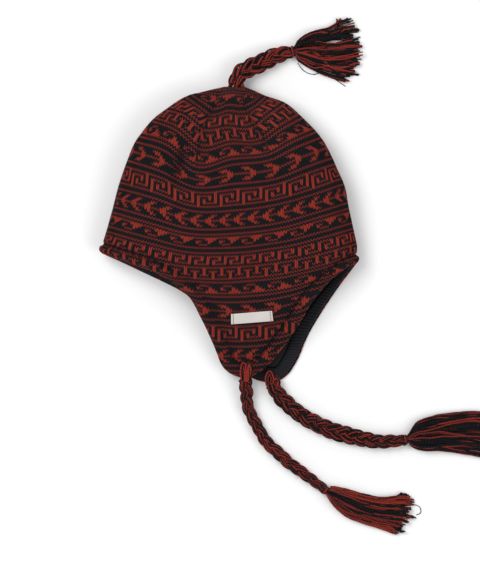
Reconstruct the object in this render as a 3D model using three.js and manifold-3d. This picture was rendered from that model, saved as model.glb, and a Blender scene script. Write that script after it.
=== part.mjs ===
// Earflap beanie lying on its side: knitted shell, fleece lining, ribbed hem facing,
// sewn label, plaited crown tail and two plaited chin ties with tassels.
// Millimetres. X runs across the hat, +Y to the crown, +Z up from the floor at z = 0.
import * as THREE from 'three';
import Module from 'manifold-3d';

const wasm = await Module();
wasm.setup();

// Overall sizes
const HAT_WIDTH = 260;
const HAT_HEIGHT = 293;
const HAT_DEPTH = 64;
const CROWN_Y = 169;

// Walls
const SHELL_WALL = 2.5;
const LINING_WALL = 2.5;
const FACING_WALL = 2.2;
const SEAM_GAP = 0.35;
const HEM_WIDTH = 13;
const HEM_PUFF = 1.6;
const FACING_SETBACK = 1.2;

// Knitting
const ROUND_STITCHES = 180;
const HALF_STITCHES = ROUND_STITCHES / 2;
const APEX_COURSE = -64;
const LAST_CHARTED_COURSE = 44;
const COURSE_PITCH = 1.864;
const STITCH_PITCH = 2.9;
const FLAP_DROOP = 4;
const FLAP_HALF_WIDTH = 50;
const FLAP_CENTRE_X = 26;
const FLAP_TIP_Z = 13.5;
const FLAP_TIP_COURSE = 106;
const FLATTEN_COURSES = 14;
const DROOP_COURSES = 32;

// Courses between which the mesh columns leave the stitches and turn square to the rim
const TURN_START_COURSE = 6;
const TURN_END_COURSE = 36;

// Mesh counts
const COLUMNS = 48;
const BODY_BANDS = 12;

// One row per course measured down the hat. front and back are the left and right outline as
// shares of the width, y0 to y6 the course line as shares of the height below the crown at
// the section shares in LINE_SHARES, side, bulge and drop the half depth, the rise of the
// upper wall and the fall of the lower wall as shares of the depth, crowd the shift of the
// stitches to the two folds.
const LINE_SHARES = [0, 0.165, 0.325, 0.52, 0.73, 0.86, 1];
const COURSES = [
  { course: -64, front: 0.510, back: 0.540, y0: 0.000, y1: 0.000, y2: 0.000, y3: 0.000, y4: 0.000, y5: 0.000, y6: 0.000, side: 0.250, bulge: 0.02, drop: 0.02, crowd: 0.10 },
  { course: -51, front: 0.398, back: 0.606, y0: 0.014, y1: 0.019, y2: 0.024, y3: 0.019, y4: 0.021, y5: 0.018, y6: 0.014, side: 0.300, bulge: 0.21, drop: 0.20, crowd: 0.06 },
  { course: -40, front: 0.333, back: 0.644, y0: 0.034, y1: 0.066, y2: 0.096, y3: 0.083, y4: 0.085, y5: 0.066, y6: 0.029, side: 0.328, bulge: 0.35, drop: 0.30, crowd: 0.06 },
  { course: -32, front: 0.244, back: 0.725, y0: 0.078, y1: 0.100, y2: 0.146, y3: 0.138, y4: 0.133, y5: 0.098, y6: 0.056, side: 0.344, bulge: 0.46, drop: 0.344, crowd: 0.07 },
  { course: -24, front: 0.194, back: 0.787, y0: 0.116, y1: 0.149, y2: 0.212, y3: 0.193, y4: 0.185, y5: 0.147, y6: 0.104, side: 0.352, bulge: 0.54, drop: 0.352, crowd: 0.08 },
  { course: -16, front: 0.152, back: 0.837, y0: 0.167, y1: 0.198, y2: 0.267, y3: 0.247, y4: 0.229, y5: 0.191, y6: 0.152, side: 0.360, bulge: 0.60, drop: 0.360, crowd: 0.09 },
  { course: -3, front: 0.110, back: 0.898, y0: 0.251, y1: 0.288, y2: 0.336, y3: 0.330, y4: 0.312, y5: 0.278, y6: 0.242, side: 0.360, bulge: 0.64, drop: 0.360, crowd: 0.10 },
  { course: 12, front: 0.071, back: 0.944, y0: 0.352, y1: 0.382, y2: 0.422, y3: 0.422, y4: 0.393, y5: 0.369, y6: 0.337, side: 0.344, bulge: 0.64, drop: 0.344, crowd: 0.12 },
  { course: 25, front: 0.046, back: 0.965, y0: 0.432, y1: 0.466, y2: 0.500, y3: 0.500, y4: 0.473, y5: 0.446, y6: 0.420, side: 0.328, bulge: 0.61, drop: 0.328, crowd: 0.14 },
  { course: 36, front: 0.027, back: 0.979, y0: 0.498, y1: 0.532, y2: 0.563, y3: 0.565, y4: 0.540, y5: 0.515, y6: 0.489, side: 0.312, bulge: 0.58, drop: 0.312, crowd: 0.15 },
  { course: 44, front: 0.008, back: 0.990, y0: 0.543, y1: 0.583, y2: 0.612, y3: 0.614, y4: 0.591, y5: 0.569, y6: 0.541, side: 0.300, bulge: 0.55, drop: 0.300, crowd: 0.155 },
];

// Rim of the upper half, fold to fold, in stitches and courses: brim, flap side, tip, flap side.
const UPPER_RIM = [
  { stitch: 0, course: 49.0 }, { stitch: 8, course: 49.6 }, { stitch: 15.6, course: 49.6 },
  { stitch: 21.4, course: 50.6 }, { stitch: 27, course: 53.8 }, { stitch: 30.6, course: 58.8 },
  { stitch: 33, course: 62.8 }, { stitch: 36.9, course: 75.4 }, { stitch: 40.4, course: 87.4 },
  { stitch: 43.3, course: 98.3 }, { stitch: 46.2, course: 102.6 }, { stitch: 50, course: 104.2 },
  { stitch: 53.6, course: 102.8 }, { stitch: 57.5, course: 98 }, { stitch: 62.8, course: 88.1 },
  { stitch: 67.3, course: 77.5 }, { stitch: 70.1, course: 69.8 }, { stitch: 75.5, course: 61.9 },
  { stitch: 80.3, course: 57.4 }, { stitch: 85, course: 55.6 }, { stitch: 90, course: 54.6 },
];

// Rim of the lower half, listed the same way round and laid out a little past the upper one.
const LOWER_RIM = [
  { stitch: 0, course: 49.0 }, { stitch: 8, course: 49.9 }, { stitch: 14, course: 51.2 },
  { stitch: 21.7, course: 54.2 }, { stitch: 28.6, course: 57.8 }, { stitch: 32.1, course: 61 },
  { stitch: 35.1, course: 65.6 }, { stitch: 40.1, course: 79 }, { stitch: 43.6, course: 90 },
  { stitch: 47.2, course: 98.6 }, { stitch: 51.7, course: 104.4 }, { stitch: 55.6, course: 107.4 },
  { stitch: 59.2, course: 108.2 }, { stitch: 62.6, course: 106.4 }, { stitch: 65.4, course: 100.5 },
  { stitch: 68.7, course: 88.2 }, { stitch: 72.5, course: 78.2 }, { stitch: 77.9, course: 68.8 },
  { stitch: 82.1, course: 62.6 }, { stitch: 86.1, course: 57.8 }, { stitch: 90, course: 54.6 },
];

// Crown darts and the fold that dents the left of the upper wall
const DART_STITCHES = [2, 32, 62, 92, 122, 152];
const DART_DEPTH = 1.4;
const DART_HALF_WIDTH = 1.6;
const DART_TOP_COURSE = -58;
const DART_FOOT_COURSE = -12;
const DENT_X = -50;
const DENT_LEAN = -0.22;
const DENT_Y = 96;
const DENT_HALF_WIDTH = 11;
const DENT_HALF_LENGTH = 30;
const DENT_DEPTH = 7;

function clamp01(value) {
  return Math.min(1, Math.max(0, value));
}

function smoothstep(from, to, value) {
  const t = clamp01((value - from) / (to - from));
  return t * t * (3 - 2 * t);
}

// Cubic curve through the listed points
function splineAt(knots, values, at) {
  const last = knots.length - 1;
  let i = 0;
  while (i < last - 1 && at > knots[i + 1]) i += 1;
  const slope = (k) => {
    if (k === 0) return (values[1] - values[0]) / (knots[1] - knots[0]);
    if (k === last) return (values[last] - values[last - 1]) / (knots[last] - knots[last - 1]);
    const before = knots[k] - knots[k - 1];
    const after = knots[k + 1] - knots[k];
    const slopeBefore = (values[k] - values[k - 1]) / before;
    const slopeAfter = (values[k + 1] - values[k]) / after;
    return (slopeBefore * after + slopeAfter * before) / (before + after);
  };
  const span = knots[i + 1] - knots[i];
  const t = clamp01((at - knots[i]) / span);
  const t2 = t * t;
  const t3 = t2 * t;
  return (2 * t3 - 3 * t2 + 1) * values[i] + (t3 - 2 * t2 + t) * span * slope(i)
    + (3 * t2 - 2 * t3) * values[i + 1] + (t3 - t2) * span * slope(i + 1);
}

const COURSE_KNOTS = COURSES.map((row) => row.course);

function courseValue(name, course) {
  return splineAt(COURSE_KNOTS, COURSES.map((row) => row[name]), course);
}

const sectionCache = new Map();

// Measures of one course, in millimetres
function sectionAt(course) {
  const key = Math.round(Math.min(course, LAST_CHARTED_COURSE) * 1000) / 1000;
  if (!sectionCache.has(key)) {
    const lines = [0, 1, 2, 3, 4, 5, 6].map((i) => CROWN_Y - HAT_HEIGHT * courseValue(`y${i}`, key));
    sectionCache.set(key, {
      front: (courseValue('front', key) - 0.5) * HAT_WIDTH,
      back: (courseValue('back', key) - 0.5) * HAT_WIDTH,
      lines,
      side: courseValue('side', key) * HAT_DEPTH,
      bulge: courseValue('bulge', key) * HAT_DEPTH,
      drop: courseValue('drop', key) * HAT_DEPTH,
      crowd: courseValue('crowd', key),
    });
  }
  return sectionCache.get(key);
}

function dartInset(stitch, course) {
  const along = smoothstep(DART_TOP_COURSE, DART_TOP_COURSE + 12, course)
    * (1 - smoothstep(DART_FOOT_COURSE - 14, DART_FOOT_COURSE, course));
  let inset = 0;
  for (const dart of DART_STITCHES) {
    const away = (stitch - dart) / DART_HALF_WIDTH;
    inset += DART_DEPTH * along * Math.exp(-away * away);
  }
  return inset;
}

// Point of the smooth outer surface at a stitch and a course
function hatPoint(stitchIn, course) {
  const stitch = (stitchIn + ROUND_STITCHES) % ROUND_STITCHES;
  const upper = stitch <= HALF_STITCHES;
  const half = upper ? stitch : ROUND_STITCHES - stitch;
  const section = sectionAt(course);
  const share = half / HALF_STITCHES;
  const angle = Math.PI * share + section.crowd * Math.sin(2 * Math.PI * share);
  const across = (1 - Math.cos(angle)) / 2;
  const rise = Math.max(0, Math.sin(angle));
  const x = section.front + (section.back - section.front) * across;
  let y = splineAt(LINE_SHARES, section.lines, across);
  const below = Math.max(0, course - LAST_CHARTED_COURSE);
  const fromFlap = (x - FLAP_CENTRE_X) / FLAP_HALF_WIDTH;
  y -= below * COURSE_PITCH;
  y += FLAP_DROOP * fromFlap * fromFlap * smoothstep(LAST_CHARTED_COURSE, LAST_CHARTED_COURSE + DROOP_COURSES, course);
  let z;
  if (upper) {
    const flatten = smoothstep(LAST_CHARTED_COURSE - FLATTEN_COURSES, FLAP_TIP_COURSE, course);
    z = section.side + section.bulge * rise;
    z = z * (1 - flatten) + FLAP_TIP_Z * flatten;
    const acrossDent = (x - DENT_X - DENT_LEAN * (y - DENT_Y)) / DENT_HALF_WIDTH;
    const alongDent = (y - DENT_Y) / DENT_HALF_LENGTH;
    z -= DENT_DEPTH * rise * Math.exp(-acrossDent * acrossDent - alongDent * alongDent);
  } else {
    const left = Math.max(0, 1 - rise / 0.8);
    z = section.side - section.drop * (1 - left * left);
  }
  return new THREE.Vector3(x, y, z);
}

function hatNormal(stitch, course) {
  const dStitch = 0.6;
  const dCourse = 0.8;
  const top = Math.max(APEX_COURSE, course - dCourse);
  const acrossStep = hatPoint(stitch + dStitch, course).sub(hatPoint(stitch - dStitch, course));
  const downStep = hatPoint(stitch, course + dCourse).sub(hatPoint(stitch, top));
  return downStep.cross(acrossStep).normalize();
}

// Evenly spaced points along a rim, in stitches and courses
function evenRim(rim, count) {
  const path = new THREE.CatmullRomCurve3(
    rim.map((p) => new THREE.Vector3(p.stitch * STITCH_PITCH, p.course * COURSE_PITCH, 0)),
    false,
    'centripetal',
  );
  const points = [];
  for (let i = 0; i <= count; i += 1) {
    const p = path.getPointAt(i / count);
    points.push({ stitch: p.x / STITCH_PITCH, course: p.y / COURSE_PITCH });
  }
  return points;
}

const RIM_SAMPLES = COLUMNS * 8;
const upperEven = evenRim(UPPER_RIM, RIM_SAMPLES / 2);
const lowerEven = evenRim(LOWER_RIM, RIM_SAMPLES / 2)
  .map((p) => ({ stitch: ROUND_STITCHES - p.stitch, course: p.course }))
  .reverse();
const RIM_LOOP = [...upperEven, ...lowerEven.slice(1, -1)];

// Rim point and the point HEM_WIDTH inside it, for a share of the way round
function rimPair(roundShare, inset) {
  const count = RIM_LOOP.length;
  const index = roundShare * count;
  const pick = (k) => {
    const turn = Math.floor(k / count);
    const p = RIM_LOOP[k - turn * count];
    return new THREE.Vector2((p.stitch + turn * ROUND_STITCHES) * STITCH_PITCH, p.course * COURSE_PITCH);
  };
  const at = (value) => {
    const low = Math.floor(value);
    return pick(low).lerp(pick(low + 1), value - low);
  };
  const here = at(index);
  const direction = at(index + 3).sub(at(index - 3)).normalize();
  const inside = new THREE.Vector2(direction.y, -direction.x).multiplyScalar(inset).add(here);
  const unit = (p) => ({ stitch: p.x / STITCH_PITCH, course: p.y / COURSE_PITCH });
  return { rim: unit(here), inside: unit(inside) };
}

// Grid node of a column: share 0 at the crown, 1 at the inner line of the hem, 2 at the rim
function gridPlace(column, share, setback) {
  const roundShare = (2 + (column * ROUND_STITCHES) / COLUMNS) / ROUND_STITCHES;
  const { rim, inside } = rimPair(roundShare, HEM_WIDTH);
  const topStitch = roundShare * ROUND_STITCHES;
  if (share <= 1) {
    const course = APEX_COURSE + (inside.course - APEX_COURSE) * share;
    const pull = smoothstep(TURN_START_COURSE, Math.max(TURN_END_COURSE, inside.course), course);
    return { stitch: topStitch + (inside.stitch - topStitch) * pull, course, hem: 0 };
  }
  const t = (share - 1) * (1 - setback / HEM_WIDTH);
  return {
    stitch: inside.stitch + (rim.stitch - inside.stitch) * t,
    course: inside.course + (rim.course - inside.course) * t,
    hem: t,
  };
}

// Point of a layer: depth is measured inward from the outer face
function layerPoint(column, share, depth, puffed, setback = 0) {
  const place = gridPlace(column, share, setback);
  const point = hatPoint(place.stitch, place.course);
  const normal = hatNormal(place.stitch, place.course);
  const lift = smoothstep(2, 10, point.z);
  let out = -depth - dartInset(place.stitch, place.course);
  if (puffed) out += HEM_PUFF * lift * Math.sin(Math.PI * clamp01(place.hem));
  point.addScaledVector(normal, out);
  point.z = Math.max(0, point.z);
  return point;
}

// Closed mesh from an outer and an inner grid joined at the last ring
function walledMesh(outerRings, innerRings, capped) {
  const vertices = [];
  const faces = [];
  const width = outerRings[0].length;
  const addRings = (rings) => rings.map((ring) => ring.map((p) => {
    vertices.push(p.x, p.y, p.z);
    return vertices.length / 3 - 1;
  }));
  const strip = (a, b, flip) => {
    for (let i = 0; i < width; i += 1) {
      const j = (i + 1) % width;
      if (flip) {
        faces.push(a[i], b[i], b[j], a[i], b[j], a[j]);
      } else {
        faces.push(a[i], b[j], b[i], a[i], a[j], b[j]);
      }
    }
  };
  const fan = (ring, flip) => {
    const centre = new THREE.Vector3();
    ring.forEach((k) => centre.add(new THREE.Vector3().fromArray(vertices, k * 3)));
    centre.divideScalar(width);
    vertices.push(centre.x, centre.y, centre.z);
    const hub = vertices.length / 3 - 1;
    for (let i = 0; i < width; i += 1) {
      const j = (i + 1) % width;
      if (flip) faces.push(hub, ring[i], ring[j]);
      else faces.push(hub, ring[j], ring[i]);
    }
  };
  const outer = addRings(outerRings);
  const inner = addRings(innerRings);
  for (let k = 0; k + 1 < outer.length; k += 1) strip(outer[k], outer[k + 1], true);
  for (let k = 0; k + 1 < inner.length; k += 1) strip(inner[k], inner[k + 1], false);
  strip(outer[outer.length - 1], inner[inner.length - 1], true);
  if (capped) {
    fan(outer[0], true);
    fan(inner[0], false);
  } else {
    strip(outer[0], inner[0], false);
  }
  const geometry = new THREE.BufferGeometry();
  geometry.setAttribute('position', new THREE.Float32BufferAttribute(vertices, 3));
  geometry.setIndex(faces);
  return outward(geometry);
}

function signedVolume(geometry) {
  const position = geometry.getAttribute('position');
  const index = geometry.getIndex();
  const a = new THREE.Vector3();
  const b = new THREE.Vector3();
  const c = new THREE.Vector3();
  let volume = 0;
  for (let i = 0; i < index.count; i += 3) {
    a.fromBufferAttribute(position, index.getX(i));
    b.fromBufferAttribute(position, index.getX(i + 1));
    c.fromBufferAttribute(position, index.getX(i + 2));
    volume += a.dot(b.clone().cross(c)) / 6;
  }
  return volume;
}

// Turns a mesh whose faces point inward
function outward(geometry) {
  if (signedVolume(geometry) < 0) {
    const array = geometry.getIndex().array;
    for (let i = 0; i < array.length; i += 3) {
      [array[i + 1], array[i + 2]] = [array[i + 2], array[i + 1]];
    }
  }
  return geometry;
}

function ringOf(share, depth, puffed, setback) {
  const ring = [];
  for (let i = 0; i < COLUMNS; i += 1) ring.push(layerPoint(i, share, depth, puffed, setback));
  return ring;
}

// Shares of the bands from the crown to the hem, closer together near the crown
function bodyShares(first, bands) {
  const shares = [];
  for (let k = 0; k <= bands; k += 1) {
    const t = k / bands;
    shares.push(first + (1 - first) * (0.8 * t + 0.2 * t * t));
  }
  return shares;
}

const HEM_SHARES = [1.33, 1.67, 2];

function knitShell() {
  const body = bodyShares(0, BODY_BANDS);
  const outer = [...body, ...HEM_SHARES].map((s) => ringOf(s, 0, true));
  const inner = [...body, ...HEM_SHARES].map((s) => ringOf(s, SHELL_WALL, false));
  return walledMesh(outer, inner, true);
}

// The lining's own cap lies one band below the shell's
function fleeceLining() {
  const body = bodyShares(0, BODY_BANDS).slice(1);
  body[body.length - 1] = 1 - 0.006;
  const top = SHELL_WALL + SEAM_GAP;
  const outer = body.map((s) => ringOf(s, top, false));
  const inner = body.map((s) => ringOf(s, top + LINING_WALL, false));
  return walledMesh(outer, inner, true);
}

function ribbedFacing() {
  const shares = [1, ...HEM_SHARES];
  const top = SHELL_WALL + SEAM_GAP;
  const outer = shares.map((s) => ringOf(s, top, false, FACING_SETBACK));
  const inner = shares.map((s) => ringOf(s, top + FACING_WALL, false, FACING_SETBACK));
  return walledMesh(outer, inner, false);
}

// Sewn label on the upper flap
const LABEL = { stitch0: 45.6, stitch1: 58.5, course0: 69.8, course1: 75.35, gap: 0.5, wall: 0.8 };

function flapLabel() {
  const cells = 8;
  const rows = [0, 1].map((down) => {
    const line = [];
    for (let i = 0; i <= cells; i += 1) {
      const t = i / cells;
      const stitch = LABEL.stitch0 + (LABEL.stitch1 - LABEL.stitch0) * t;
      const course = LABEL.course0 + (LABEL.course1 - LABEL.course0) * down;
      line.push({ stitch, course });
    }
    return line;
  });
  const loop = [...rows[0], ...rows[1].slice().reverse()];
  const lift = (p, out) => hatPoint(p.stitch, p.course).addScaledVector(hatNormal(p.stitch, p.course), out);
  const bottom = loop.map((p) => lift(p, LABEL.gap));
  const top = loop.map((p) => lift(p, LABEL.gap + LABEL.wall));
  const vertices = [...bottom, ...top].flatMap((p) => [p.x, p.y, p.z]);
  const count = loop.length;
  const faces = [];
  for (let i = 0; i < count; i += 1) {
    const j = (i + 1) % count;
    faces.push(i, j, count + j, i, count + j, count + i);
  }
  for (let i = 0; i < cells; i += 1) {
    const a = i;
    const b = i + 1;
    const c = count - 2 - i;
    const d = count - 1 - i;
    faces.push(a, c, b, a, d, c);
    faces.push(count + a, count + b, count + c, count + a, count + c, count + d);
  }
  const geometry = new THREE.BufferGeometry();
  geometry.setAttribute('position', new THREE.Float32BufferAttribute(vertices, 3));
  geometry.setIndex(faces);
  return outward(geometry);
}

// Tube of changing radius along a curve, closed at both ends
function taperTube(points, radii, sides, steps) {
  const curve = new THREE.CatmullRomCurve3(points, false, 'centripetal');
  const frames = curve.computeFrenetFrames(steps, false);
  const vertices = [];
  const faces = [];
  for (let k = 0; k <= steps; k += 1) {
    const t = k / steps;
    const centre = curve.getPointAt(t);
    const radius = splineAt(radii.map((_, i) => i / (radii.length - 1)), radii, t);
    for (let i = 0; i < sides; i += 1) {
      const a = (2 * Math.PI * i) / sides;
      const p = centre.clone()
        .addScaledVector(frames.normals[k], radius * Math.cos(a))
        .addScaledVector(frames.binormals[k], radius * Math.sin(a));
      vertices.push(p.x, p.y, p.z);
    }
  }
  for (let k = 0; k < steps; k += 1) {
    for (let i = 0; i < sides; i += 1) {
      const j = (i + 1) % sides;
      const a = k * sides + i;
      const b = k * sides + j;
      faces.push(a, b, b + sides, a, b + sides, a + sides);
    }
  }
  for (let i = 1; i + 1 < sides; i += 1) {
    const end = steps * sides;
    faces.push(0, i + 1, i, end, end + i, end + i + 1);
  }
  const geometry = new THREE.BufferGeometry();
  geometry.setAttribute('position', new THREE.Float32BufferAttribute(vertices, 3));
  geometry.setIndex(faces);
  return outward(geometry);
}

function toManifold(geometry) {
  return new wasm.Manifold(new wasm.Mesh({
    numProp: 3,
    vertProperties: new Float32Array(geometry.getAttribute('position').array),
    triVerts: new Uint32Array(geometry.getIndex().array),
  }));
}

function fromManifold(solid) {
  const mesh = solid.getMesh();
  const geometry = new THREE.BufferGeometry();
  geometry.setAttribute('position', new THREE.BufferAttribute(new Float32Array(mesh.vertProperties), 3));
  geometry.setIndex(new THREE.BufferAttribute(new Uint32Array(mesh.triVerts), 1));
  return geometry;
}

function fuse(geometries) {
  let solid = toManifold(geometries[0]);
  for (const geometry of geometries.slice(1)) solid = solid.add(toManifold(geometry));
  return fromManifold(solid);
}

// Plait of three strands along a path: each strand swings across and over the other two
function plait(points, size, steps, sides) {
  const curve = new THREE.CatmullRomCurve3(points, false, 'centripetal');
  const length = curve.getLength();
  const up = new THREE.Vector3(0, 0, 1);
  const strands = [];
  for (let strand = 0; strand < 3; strand += 1) {
    const line = [];
    const radii = [];
    for (let k = 0; k <= steps; k += 1) {
      const t = k / steps;
      const centre = curve.getPointAt(t);
      const tangent = curve.getTangentAt(t);
      const across = tangent.clone().cross(up).normalize();
      const over = across.clone().cross(tangent).normalize();
      const phase = (2 * Math.PI * (length * t)) / size.pitch + (2 * Math.PI * strand) / 3;
      const narrow = size.start + (1 - size.start) * smoothstep(0, 0.2, t) - (1 - size.end) * smoothstep(0.85, 1, t);
      line.push(centre
        .addScaledVector(across, size.swing * narrow * Math.sin(phase))
        .addScaledVector(over, size.cross * narrow * Math.sin(2 * phase)));
      radii.push(size.strand * narrow);
    }
    strands.push(taperTube(line, radii, sides, steps));
  }
  return fuse(strands);
}

const STEM_CLEARANCE = 0.5;

// Centre line of the short stem between a braid and its tassel
function stemLine(spec) {
  const start = new THREE.Vector3(...spec.stem);
  const neck = new THREE.Vector3(...spec.neck);
  const axis = neck.clone().sub(start).normalize();
  return { start, end: neck.clone().addScaledVector(axis, 2), axis };
}

// Heights of a lock's middle above the floor and its relative thickness, from the neck to the cut end
const LOCK_HEIGHTS = [8.2, 7.4, 6.2, 4.4];
const LOCK_SHARES = [0.7, 1, 1, 0.95, 0.75];

// Tassel: a stem, a head and a row of locks between an upper and a lower edge, in one body
function tassel(spec) {
  const neck = new THREE.Vector3(...spec.neck);
  const stem = stemLine(spec);
  const last = spec.upper.length - 1;
  const middle = new THREE.Vector3(
    (spec.upper[last][0] + spec.lower[last][0]) / 2,
    (spec.upper[last][1] + spec.lower[last][1]) / 2,
    neck.z,
  );
  const axis = middle.sub(neck).normalize();
  const parts = [taperTube([stem.start, stem.end], [spec.stemRadius, spec.stemRadius], 8, 1)];
  const bend = neck.clone().addScaledVector(stem.axis, 5);
  parts.push(taperTube(
    [neck.clone().addScaledVector(stem.axis, 0.8), bend, bend.clone().addScaledVector(axis, 13)],
    [spec.headRadius, spec.headRadius * 1.25, spec.headRadius * 0.8],
    8,
    4,
  ));
  for (let i = 0; i < spec.locks; i += 1) {
    const share = i / (spec.locks - 1);
    const line = [neck.clone().addScaledVector(axis, 4)];
    spec.upper.forEach((top, k) => {
      const foot = spec.lower[k];
      const width = Math.hypot(foot[0] - top[0], foot[1] - top[1]);
      const inset = Math.min(0.5, spec.lockRadius / width);
      const across = inset + (1 - 2 * inset) * share;
      const reach = k === last ? spec.bow * (1 - (2 * share - 1) ** 2) : 0;
      line.push(new THREE.Vector3(
        top[0] + (foot[0] - top[0]) * across + axis.x * reach,
        top[1] + (foot[1] - top[1]) * across + axis.y * reach,
        Math.max(LOCK_HEIGHTS[k], spec.lockRadius * LOCK_SHARES[k + 1] + 0.3),
      ));
    });
    parts.push(taperTube(line, LOCK_SHARES.map((part) => part * spec.lockRadius), 5, 4));
  }
  return fuse(parts);
}

const WRAP_YARN = 1.2;
const WRAP_TURNS = 2;

// Turns of yarn round a neck: a ring with one groove between each two turns
function neckWrap(from, to, innerRadius, yarn, turns) {
  const profile = [];
  const length = from.distanceTo(to);
  profile.push(new THREE.Vector2(innerRadius, 0));
  for (let i = 0; i < turns; i += 1) {
    const start = (length * i) / turns;
    const pitch = length / turns;
    profile.push(new THREE.Vector2(innerRadius + yarn * 0.6, start));
    profile.push(new THREE.Vector2(innerRadius + yarn, start + pitch * 0.5));
  }
  profile.push(new THREE.Vector2(innerRadius + yarn * 0.6, length));
  profile.push(new THREE.Vector2(innerRadius, length));
  const sides = 12;
  const axis = to.clone().sub(from).normalize();
  const turn = new THREE.Quaternion().setFromUnitVectors(new THREE.Vector3(0, 1, 0), axis);
  const vertices = [];
  const faces = [];
  profile.forEach((p) => {
    for (let i = 0; i < sides; i += 1) {
      const a = (2 * Math.PI * i) / sides;
      const v = new THREE.Vector3(p.x * Math.cos(a), p.y, p.x * Math.sin(a)).applyQuaternion(turn).add(from);
      vertices.push(v.x, v.y, v.z);
    }
  });
  for (let k = 0; k < profile.length; k += 1) {
    const next = (k + 1) % profile.length;
    for (let i = 0; i < sides; i += 1) {
      const j = (i + 1) % sides;
      faces.push(k * sides + i, next * sides + i, next * sides + j);
      faces.push(k * sides + i, next * sides + j, k * sides + j);
    }
  }
  const geometry = new THREE.BufferGeometry();
  geometry.setAttribute('position', new THREE.Float32BufferAttribute(vertices, 3));
  geometry.setIndex(faces);
  return outward(geometry);
}

// Paths of the crown tail and the chin ties: x, y, z
const CROWN_BRAID_PATH = [
  [7.3, 171.2, 16], [8.6, 179, 15.5], [16, 186, 13.5], [23.5, 189.4, 12], [32, 193.6, 10.5],
  [41.7, 198.6, 9.4], [48.6, 201.3, 8.6], [55.8, 203.4, 8], [60, 204.4, 7.8],
];
const NEAR_TIE_PATH = [
  [15.8, -123.3, 13.6], [17, -131, 12.4], [17.6, -137, 10.6], [17.8, -144, 8.4], [18.5, -150, 7.2],
  [21.2, -157, 6.8], [25.6, -166, 6.7], [31.6, -177, 6.7], [39, -188, 6.7], [49, -197, 6.7],
  [60, -207, 6.7], [72, -216, 6.7], [84, -225, 6.7], [95.3, -233.4, 6.7],
];
const FAR_TIE_PATH = [
  [42.0, -127.6, 8.2], [46.5, -134, 7.6], [50.5, -140, 7.6], [57.5, -147.5, 7.6], [66.5, -155, 7.6],
  [80, -164, 7.6], [94.5, -171.5, 7.6], [109, -177, 7.6], [124, -181, 7.6], [138.5, -184, 7.6],
  [153, -186, 7.6], [162, -186, 7.6], [174.6, -184.5, 7.6],
];
const CROWN_PLAIT = { swing: 3.9, cross: 1.9, strand: 3.9, pitch: 34, start: 0.75, end: 0.72 };
const NEAR_TIE_RADIUS = 6.4;
const FAR_TIE_RADIUS = 7.3;

function vectors(list) {
  return list.map((p) => new THREE.Vector3(...p));
}

function tieTube(path, radius) {
  const curve = new THREE.CatmullRomCurve3(vectors(path), false, 'centripetal');
  const outline = new THREE.Shape();
  outline.absarc(0, 0, radius, 0, 2 * Math.PI);
  return new THREE.ExtrudeGeometry(outline, { steps: 38, curveSegments: 4, extrudePath: curve, bevelEnabled: false });
}

const CROWN_TASSEL = {
  stem: [62, 204.8, 7.7],
  neck: [66, 205.7, 7.6],
  stemRadius: 4,
  headRadius: 6.4,
  locks: 8,
  lockRadius: 4.9,
  bow: 11,
  upper: [[74, 221.5], [86, 226.3], [100, 230], [115, 238]],
  lower: [[74, 192], [86, 185.3], [100, 179.3], [117, 175.5]],
};
const NEAR_TASSEL = {
  stem: [95.8, -233.8, 6.7],
  neck: [99.2, -236.5, 6.7],
  stemRadius: 2.8,
  headRadius: 5.2,
  locks: 6,
  lockRadius: 4.5,
  bow: 5,
  upper: [[107, -231.2], [122, -234.8], [148, -241], [180, -239.5]],
  lower: [[104.5, -250], [118, -261.5], [145, -271.5], [168, -278.5]],
};
const FAR_TASSEL = {
  stem: [175.2, -184.4, 7.4],
  neck: [179.4, -183.5, 7.4],
  stemRadius: 3.6,
  headRadius: 6,
  locks: 6,
  lockRadius: 5,
  bow: 8,
  upper: [[188, -166], [205, -160.3], [235, -157], [269, -157]],
  lower: [[187, -194.5], [204, -196], [235, -198.5], [265, -204]],
};

function piece(name, geometry, colour, roughness) {
  geometry.computeVertexNormals();
  const mesh = new THREE.Mesh(geometry, new THREE.MeshStandardMaterial({
    name: `${name}_material`, color: colour, roughness, metalness: 0,
  }));
  mesh.name = name;
  return mesh;
}

// Two turns of yarn round the stem of a tassel
function stemWrap(spec) {
  const { start, axis } = stemLine(spec);
  const neck = new THREE.Vector3(...spec.neck);
  const from = start.clone().addScaledVector(axis, STEM_CLEARANCE);
  const to = neck.addScaledVector(axis, -STEM_CLEARANCE);
  return neckWrap(from, to, spec.stemRadius + STEM_CLEARANCE, WRAP_YARN, WRAP_TURNS);
}

const object = new THREE.Group();
object.name = 'earflap_beanie';
object.add(piece('knit_shell', knitShell(), 0x5c2a26, 0.95));
object.add(piece('fleece_lining', fleeceLining(), 0x1c1e22, 1));
object.add(piece('ribbed_facing', ribbedFacing(), 0x202226, 0.95));
object.add(piece('flap_label', flapLabel(), 0xe8e2dc, 0.8));
object.add(piece('crown_braid', plait(vectors(CROWN_BRAID_PATH), CROWN_PLAIT, 18, 7), 0x6a2822, 0.95));
object.add(piece('crown_tassel', tassel(CROWN_TASSEL), 0x6a2822, 0.95));
object.add(piece('crown_wrap', stemWrap(CROWN_TASSEL), 0x8a3026, 0.95));
object.add(piece('near_tie_braid', tieTube(NEAR_TIE_PATH, NEAR_TIE_RADIUS), 0x6a2822, 0.95));
object.add(piece('near_tie_tassel', tassel(NEAR_TASSEL), 0x6a2822, 0.95));
object.add(piece('near_tie_wrap', stemWrap(NEAR_TASSEL), 0x8a3026, 0.95));
object.add(piece('far_tie_braid', tieTube(FAR_TIE_PATH, FAR_TIE_RADIUS), 0x6a2822, 0.95));
object.add(piece('far_tie_tassel', tassel(FAR_TASSEL), 0x6a2822, 0.95));
object.add(piece('far_tie_wrap', stemWrap(FAR_TASSEL), 0x8a3026, 0.95));

export default object;
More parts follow.
